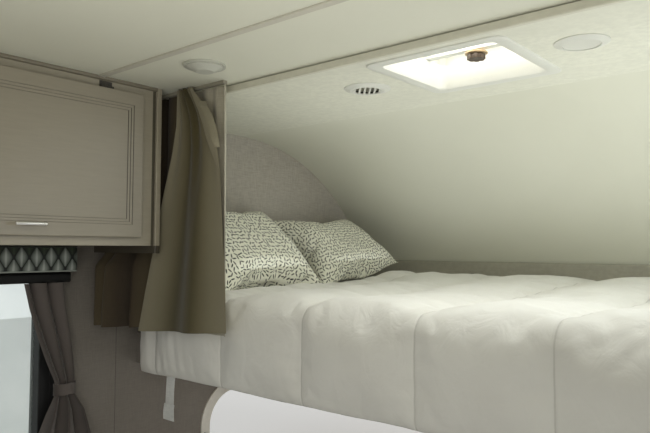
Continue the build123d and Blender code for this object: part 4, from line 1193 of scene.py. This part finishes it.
def curtain_panel(u, v, seed):
    """Outer panel: drawn together at the track, fanned out below, its top corner fallen and turned back."""
    z = TRACK_Z - v * (TRACK_Z - 0.087 - 0.026 * u)
    rear = read_table(REAR_HEM, z)
    lead = read_table(LEAD_HEM, z)
    lapel = smoothstep(0.56, 0.70, z) * smoothstep(0.90, 0.76, z)
    fold_at = 0.90
    share = min(u / fold_at, 1.0)
    spread = smoothstep(0.88, 0.30, z)
    x = rear + 0.016 * spread + (lead - rear - 0.042 * spread) * share
    inward = smoothstep(0.0, 0.16, share) * smoothstep(1.0, 0.84, share)
    y = PANEL_Y - 0.018 * spread * cos(2 * pi * 1.50 * share + seed)
    y += 0.007 * (1 - spread) * sin(2 * pi * 3.5 * share + seed) * inward
    y += 0.004 * noise.noise(Vector((share * 5 + seed, v * 1.6, 5))) * (1 - 0.5 * lapel)
    if u > fold_at:
        back = (u - fold_at) / (1 - fold_at)
        reach = 0.006 + 0.020 * lapel
        x -= reach * back + 0.004 * sin(pi * back)
        y += (0.004 - 0.016 * lapel) * sin(pi * min(back, 0.75) / 0.75 * 0.5)
    return Vector((x, y, z))


BUNCH_FOLDS = 5.6


def curtain_bunch(u, v, seed):
    """The rest of the cloth, pushed to the wall in deep upright folds."""
    z = TRACK_Z - v * (TRACK_Z - 0.096 + 0.014 * u - 0.030 * smoothstep(0.40, 0.60, u))
    down = smoothstep(0.346, 0.290, z)
    x = -1.226 + 0.385 * u + 0.006 * sin(4 * pi * BUNCH_FOLDS * u + 1.2) * smoothstep(0.0, 0.1, u)
    x -= 0.020 * smoothstep(0.36, 0.09, z) * smoothstep(0.0, 0.2, u)
    behind = smoothstep(0.28, 0.46, u)
    depth = (0.029 + 0.017 * down) * (1 - 0.60 * behind)
    wave = sin(2 * pi * BUNCH_FOLDS * u + 0.5 * sin(2.2 * v + seed) + 2.4)
    y = CURTAIN_Y - 0.019 + 0.041 * behind - 0.020 * down * (1 - behind)
    y += depth * wave * (1.2 - 0.2 * wave * wave)
    y += 0.003 * noise.noise(Vector((u * 10 + seed, v * 2.5, 3)))
    return Vector((x, y, z))


def curtain_lining(u, v, seed):
    """Pale lining behind the panel, seen along its leading edge."""
    z = 0.848 - v * (0.848 - 0.100)
    lead = -0.646 + 0.013 * v
    x = -0.838 + (lead + 0.838) * u
    gathers = smoothstep(0.75, 0.15, v)
    y = CURTAIN_Y + 0.010 + 0.004 * sin(2 * pi * 3.6 * u + seed) * (0.3 + 0.7 * gathers)
    y += 0.003 * noise.noise(Vector((u * 6 + seed, v * 2, 11)))
    y -= 0.010 * smoothstep(0.93, 1.0, u)
    return Vector((x, y, z))


TURNED_HEM = (       # height, rear edge and front edge of the hem that has fallen open
    (0.656, -0.652, -0.644), (0.685, -0.660, -0.639), (0.715, -0.671, -0.648),
    (0.744, -0.688, -0.665), (0.774, -0.710, -0.687), (0.803, -0.731, -0.713))


def turned_hem(u, v, seed):
    """Strip of the panel's own hem, folded over at its fallen corner."""
    z = TURNED_HEM[-1][0] - v * (TURNED_HEM[-1][0] - TURNED_HEM[0][0])
    rear = read_table([(row[0], row[1]) for row in TURNED_HEM], z)
    front = read_table([(row[0], row[2]) for row in TURNED_HEM], z)
    y = PANEL_Y - 0.024 + 0.016 * u * u + 0.008 * smoothstep(0.8, 1.0, v) + 0.012 * smoothstep(0.15, 0.0, v)
    return Vector((rear + (front - rear) * u, y + 0.002 * sin(7 * v + seed), z))


def make_curtains():
    for side, change, seed in (("left", None, 0.0), ("right", MIRROR_X, 0.9)):
        for name, shape, grid, flat, finish, thickness in (
                ("curtain_panel_", curtain_panel, (110, 90), (0.46, 0.77), PANEL_CLOTH_PAINTED_BANDS, 0.0022),
                ("curtain_bunch_", curtain_bunch, (200, 60), (0.70, 0.76), SHADED_BUNCH_CLOTH, 0.0022),
                ("turned_hem_", turned_hem, (8, 40), (0.030, 0.165), PANEL_CLOTH_PAINTED_BANDS, 0.0030),
                ("curtain_lining_", curtain_lining, (60, 40), (0.21, 0.75), LINING, 0.0016)):
            cloth = cloth_grid(name + side, *grid, lambda u, v: shape(u, v, seed), flat)
            if change:
                cloth.data.transform(change)
                cloth.data.flip_normals()
            thicken(cloth, thickness)
            if shape is curtain_panel:
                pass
            elif shape is turned_hem:
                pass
            else:
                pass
            dress(cloth, finish, angle=80,
                  replaces=("berth_curtain_" + side,) if shape is curtain_panel else ())


PANEL_CLOTH_PAINTED_BANDS = FINISHES["curtain_cloth"]
# painted shade: the bunch is a darker copy of the curtain cloth, standing in for the shade it hangs in; its
# bands are painted light and shade of its folds
SHADED_BUNCH_CLOTH = band_shaded_cloth_material("painted_shade_bunch_weave", (0.050, 0.036, 0.022), (0.118, 0.094, 0.052),
                               0.26, -2.42)
LINING = cloth_material("curtain_lining", (0.44, 0.405, 0.315), 2600.0, 0.0003)


# Window drapes, ties and valances

DRAPE_ROWS = (          # height, rear edge and front edge from the window's front edge, depth
    (-0.450, -0.088, 0.118, 0.056),
    (-0.250, -0.084, 0.100, 0.056),
    (-0.170, -0.052, 0.074, 0.050),
    (-0.118, -0.027, 0.042, 0.032),
    (-0.072, -0.028, 0.040, 0.032),
    (-0.010, -0.058, 0.036, 0.036),
    (0.072, -0.092, 0.028, 0.040),
    (0.168, -0.124, 0.010, 0.042),
    (0.246, -0.144, 0.001, 0.044),
)
WINDOW_FRONT = -1.005
DRAPE_FOLDS = 1.3


def drape_point(u, v, way, seed):
    z = 0.2455 - v * (0.2455 + 0.450)
    rear = read_table([(row[0], row[1]) for row in DRAPE_ROWS], z)
    front = read_table([(row[0], row[2]) for row in DRAPE_ROWS], z)
    depth = read_table([(row[0], row[3]) for row in DRAPE_ROWS], z)
    neck = exp(-((z + 0.098) / 0.055) ** 2)
    folds = 2 * pi * DRAPE_FOLDS
    wave = sin(folds * u + 0.5 + 0.35 * sin(5 * z + seed))
    ridge = (1 - abs(wave)) ** 1.6 * 2 - 1
    y = WINDOW_FRONT + rear + (front - rear) * (u + 0.055 * sin(2 * folds * u + 1.0))
    x = WALL_IN - 0.046 + depth * (0.40 - 0.10 * neck) * ridge * (1 if z > -0.115 else 1.15)
    x += 0.003 * noise.noise(Vector((u * 8 + seed, v * 3, 8)))
    if way < 0:
        y = 2 * WINDOW_Y - y
    return Vector((x, y, z))


def make_drapes():
    pieces = []
    for index, (side, way) in enumerate(((-1, 1), (1, 1), (-1, -1), (1, -1))):
        name = "drape_%s_%s" % ("left" if side < 0 else "right", "front" if way > 0 else "rear")
        drape = cloth_grid(name, 130, 80, lambda u, v: drape_point(u, v, way, index * 1.7), (0.26, 0.70))
        if side < 0:
            drape.data.transform(MIRROR_X)
        if (side < 0) != (way < 0):
            drape.data.flip_normals()
        thicken(drape, 0.0018)
        pieces.append(drape)
    for drape in pieces:
        dress(drape, FINISHES["drape_cloth"], angle=80,
              replaces=("drapes",) if drape is pieces[0] else ())


def make_ties():
    """Cloth bands round the drapes' necks, back to the wall."""
    first = None
    for side in (-1, 1):
        for way in (1, -1):
            name = "tie_%s_%s" % ("left" if side < 0 else "right", "front" if way > 0 else "rear")

            def ring(u, v):
                turn = 2 * pi * u
                a, b = 0.0190, 0.0365
                stretch = 1 - 0.04 * sin(pi * v)
                x = WALL_IN - 0.047 + a * stretch * cos(turn)
                y = WINDOW_FRONT + 0.008 + b * stretch * sin(turn)
                z = -0.080 - 0.036 * v + 0.001 * sin(5 * turn)
                if way < 0:
                    y = 2 * WINDOW_Y - y
                return Vector((side * x, y, z))

            band = cloth_grid(name, 48, 6, ring, (0.180, 0.036))
            thicken(band, 0.0024)
            dress(band, FINISHES["drape_cloth"], angle=80,
                  replaces=() if first else ("drape_ties",))
            first = first or band


def make_valances():
    """Padded boxes covered in lattice cloth, with piping round the front; the upper piping is near-black,
    painted shade.
    """
    low_z, high_z = 0.282, 0.362
    half, reach = 0.380, 0.080
    for side in (-1, 1):
        name = "valance_" + ("left" if side < 0 else "right")
        corner = 0.012
        run = [(WALL_IN - 0.001, -half), (WALL_IN - reach + corner, -half)]
        for step in range(1, 6):
            turn = radians(90 * step / 6)
            run.append((WALL_IN - reach + corner - corner * sin(turn), -half + corner - corner * cos(turn)))
        run.append((WALL_IN - reach, -half + corner))
        cells = 60
        for step in range(1, cells):
            run.append((WALL_IN - reach, -half + corner + (2 * half - 2 * corner) * step / cells))
        run += [(x, -y) for x, y in run[:8][::-1]]
        lengths = [0.0]
        for (x0, y0), (x1, y1) in zip(run, run[1:]):
            lengths.append(lengths[-1] + sqrt((x1 - x0) ** 2 + (y1 - y0) ** 2))
        outline = list(zip(run, lengths))
        heights = 10

        def face(index, row):
            (x, y), length = outline[index]
            share = row / heights
            swell = 0.004 * (1 - (2 * share - 1) ** 4)
            nx, ny = (-1, 0) if 6 < index < len(outline) - 7 else (0, -1 if y < 0 else 1)
            wave = 0.0008 * noise.noise(Vector((length * 12, share * 2, side)))
            return Vector((side * (x + nx * (swell + wave)), WINDOW_Y + y + ny * (swell + wave),
                           low_z + (high_z - low_z) * share)), (length, (high_z - low_z) * share)

        points, flat, faces = [], [], []
        count = len(outline)
        for row in range(heights + 1):
            for index in range(count):
                point, uv = face(index, row)
                points.append(point)
                flat.append(uv)
        for row in range(heights):
            for index in range(count - 1):
                a = row * count + index
                quad = (a, a + 1, a + count + 1, a + count)
                faces.append(quad if side < 0 else quad[::-1])
        shell = close_mesh(name, points, faces, flat)
        thicken(shell, 0.010, offset=-1)
        dress(shell, FINISHES["valance_cloth"], angle=50,
              replaces=("valances",) if side < 0 else ())
        for label, z in (("low", low_z + 0.0015), ("high", high_z - 0.0015)):
            line = bpy.data.curves.new(name + "_piping_" + label, "CURVE")
            line.dimensions = "3D"
            line.bevel_depth = 0.0024
            line.bevel_resolution = 3
            path = line.splines.new("POLY")
            path.points.add(count - 1)
            for point, ((x, y), _) in zip(path.points, outline):
                point.co = (side * (x - 0.001), WINDOW_Y + y * 1.002, z, 1)
            pipe = bpy.data.objects.new(name + "_piping_" + label, line)
            bpy.context.collection.objects.link(pipe)
            activate(pipe)
            bpy.ops.object.convert(target="MESH")
            dress(bpy.context.object, {"low": PIPING, "high": SHADED_PIPING}[label], angle=60)


PIPING = cloth_material("piping", (0.34, 0.37, 0.33), 3000.0, 0.0002, uv=False)
# painted shade: the upper piping is near-black, standing in for the locker's shadow over it
SHADED_PIPING = cloth_material("painted_shade_piping", (0.020, 0.024, 0.018), 3000.0, 0.0002, uv=False)


TAPE_X = -1.026


def make_tape():
    """Tie tape that hangs from the edge beam, its end doubled back and sewn."""
    def hang(u, v, width=0.050):
        z = -0.014 - 0.216 * v
        sway = 0.004 * sin(3.0 * v + 0.6) - 0.004 * v
        y = DECK_BACK - 0.0025 - 0.006 * sin(pi * v) - 0.003 * v
        return Vector((TAPE_X + (u - 0.5) * width * (1 - 0.12 * sin(pi * v)) + sway, y, z))

    strip = cloth_grid("tie_tape", 8, 40, hang, (0.050, 0.216))
    thicken(strip, 0.0012)
    dress(strip, FINISHES["white_tape"], replaces=("hanging_tape",), angle=80)

    def doubled(u, v):
        point = hang(u, 0.74 + 0.26 * v, 0.060)
        return point + Vector((0.004 * (1 - v), -0.004 - 0.002 * sin(pi * v), 0.002))

    end = cloth_grid("tie_tape_end", 8, 14, doubled, (0.060, 0.056))
    thicken(end, 0.0012)
    dress(end, FINISHES["white_tape"], angle=80)


def make_mattress():
    """Foam mattress with rounded upright corners and rounded rims."""
    low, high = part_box("mattress")
    pad = start_box("mattress_pad", low, high)
    round_edges(pad, 0.030, 4, lambda e: abs(e.verts[0].co.z - e.verts[1].co.z) > 0.05)
    round_edges(pad, 0.014, 4, lambda e: abs(e.verts[0].co.z - e.verts[1].co.z) < 0.001 and sharp_edges(e))
    return dress(pad, FINISHES["mattress_ticking"], replaces=("mattress",), angle=50)


dress_cad_nodes()
nose_shell()
roof_shell()
hatch_trim()
hatch_dome()
hatch_knob_piece()
make_mattress()
make_quilt()
make_pillow("pillow_near", "pillow_rear", pillow_place((-1.018, -0.400, 0.350), 0.0, 41.0, 0.0), 1.0,
            (0.515, 0.575, 0.170), QUILT_TOP - 0.006)
make_pillow("pillow_far", "pillow_forward", pillow_place((-1.040, 0.190, 0.346), -2.0, 42.0, 3.0), 5.0,
            (0.440, 0.530, 0.185), QUILT_TOP - 0.003, lift=0.060)
make_curtains()
make_drapes()
make_ties()
make_valances()
make_tape()
place_camera()
light_scene()
lay_floor()

bpy.context.scene.view_settings.view_transform = "Standard"
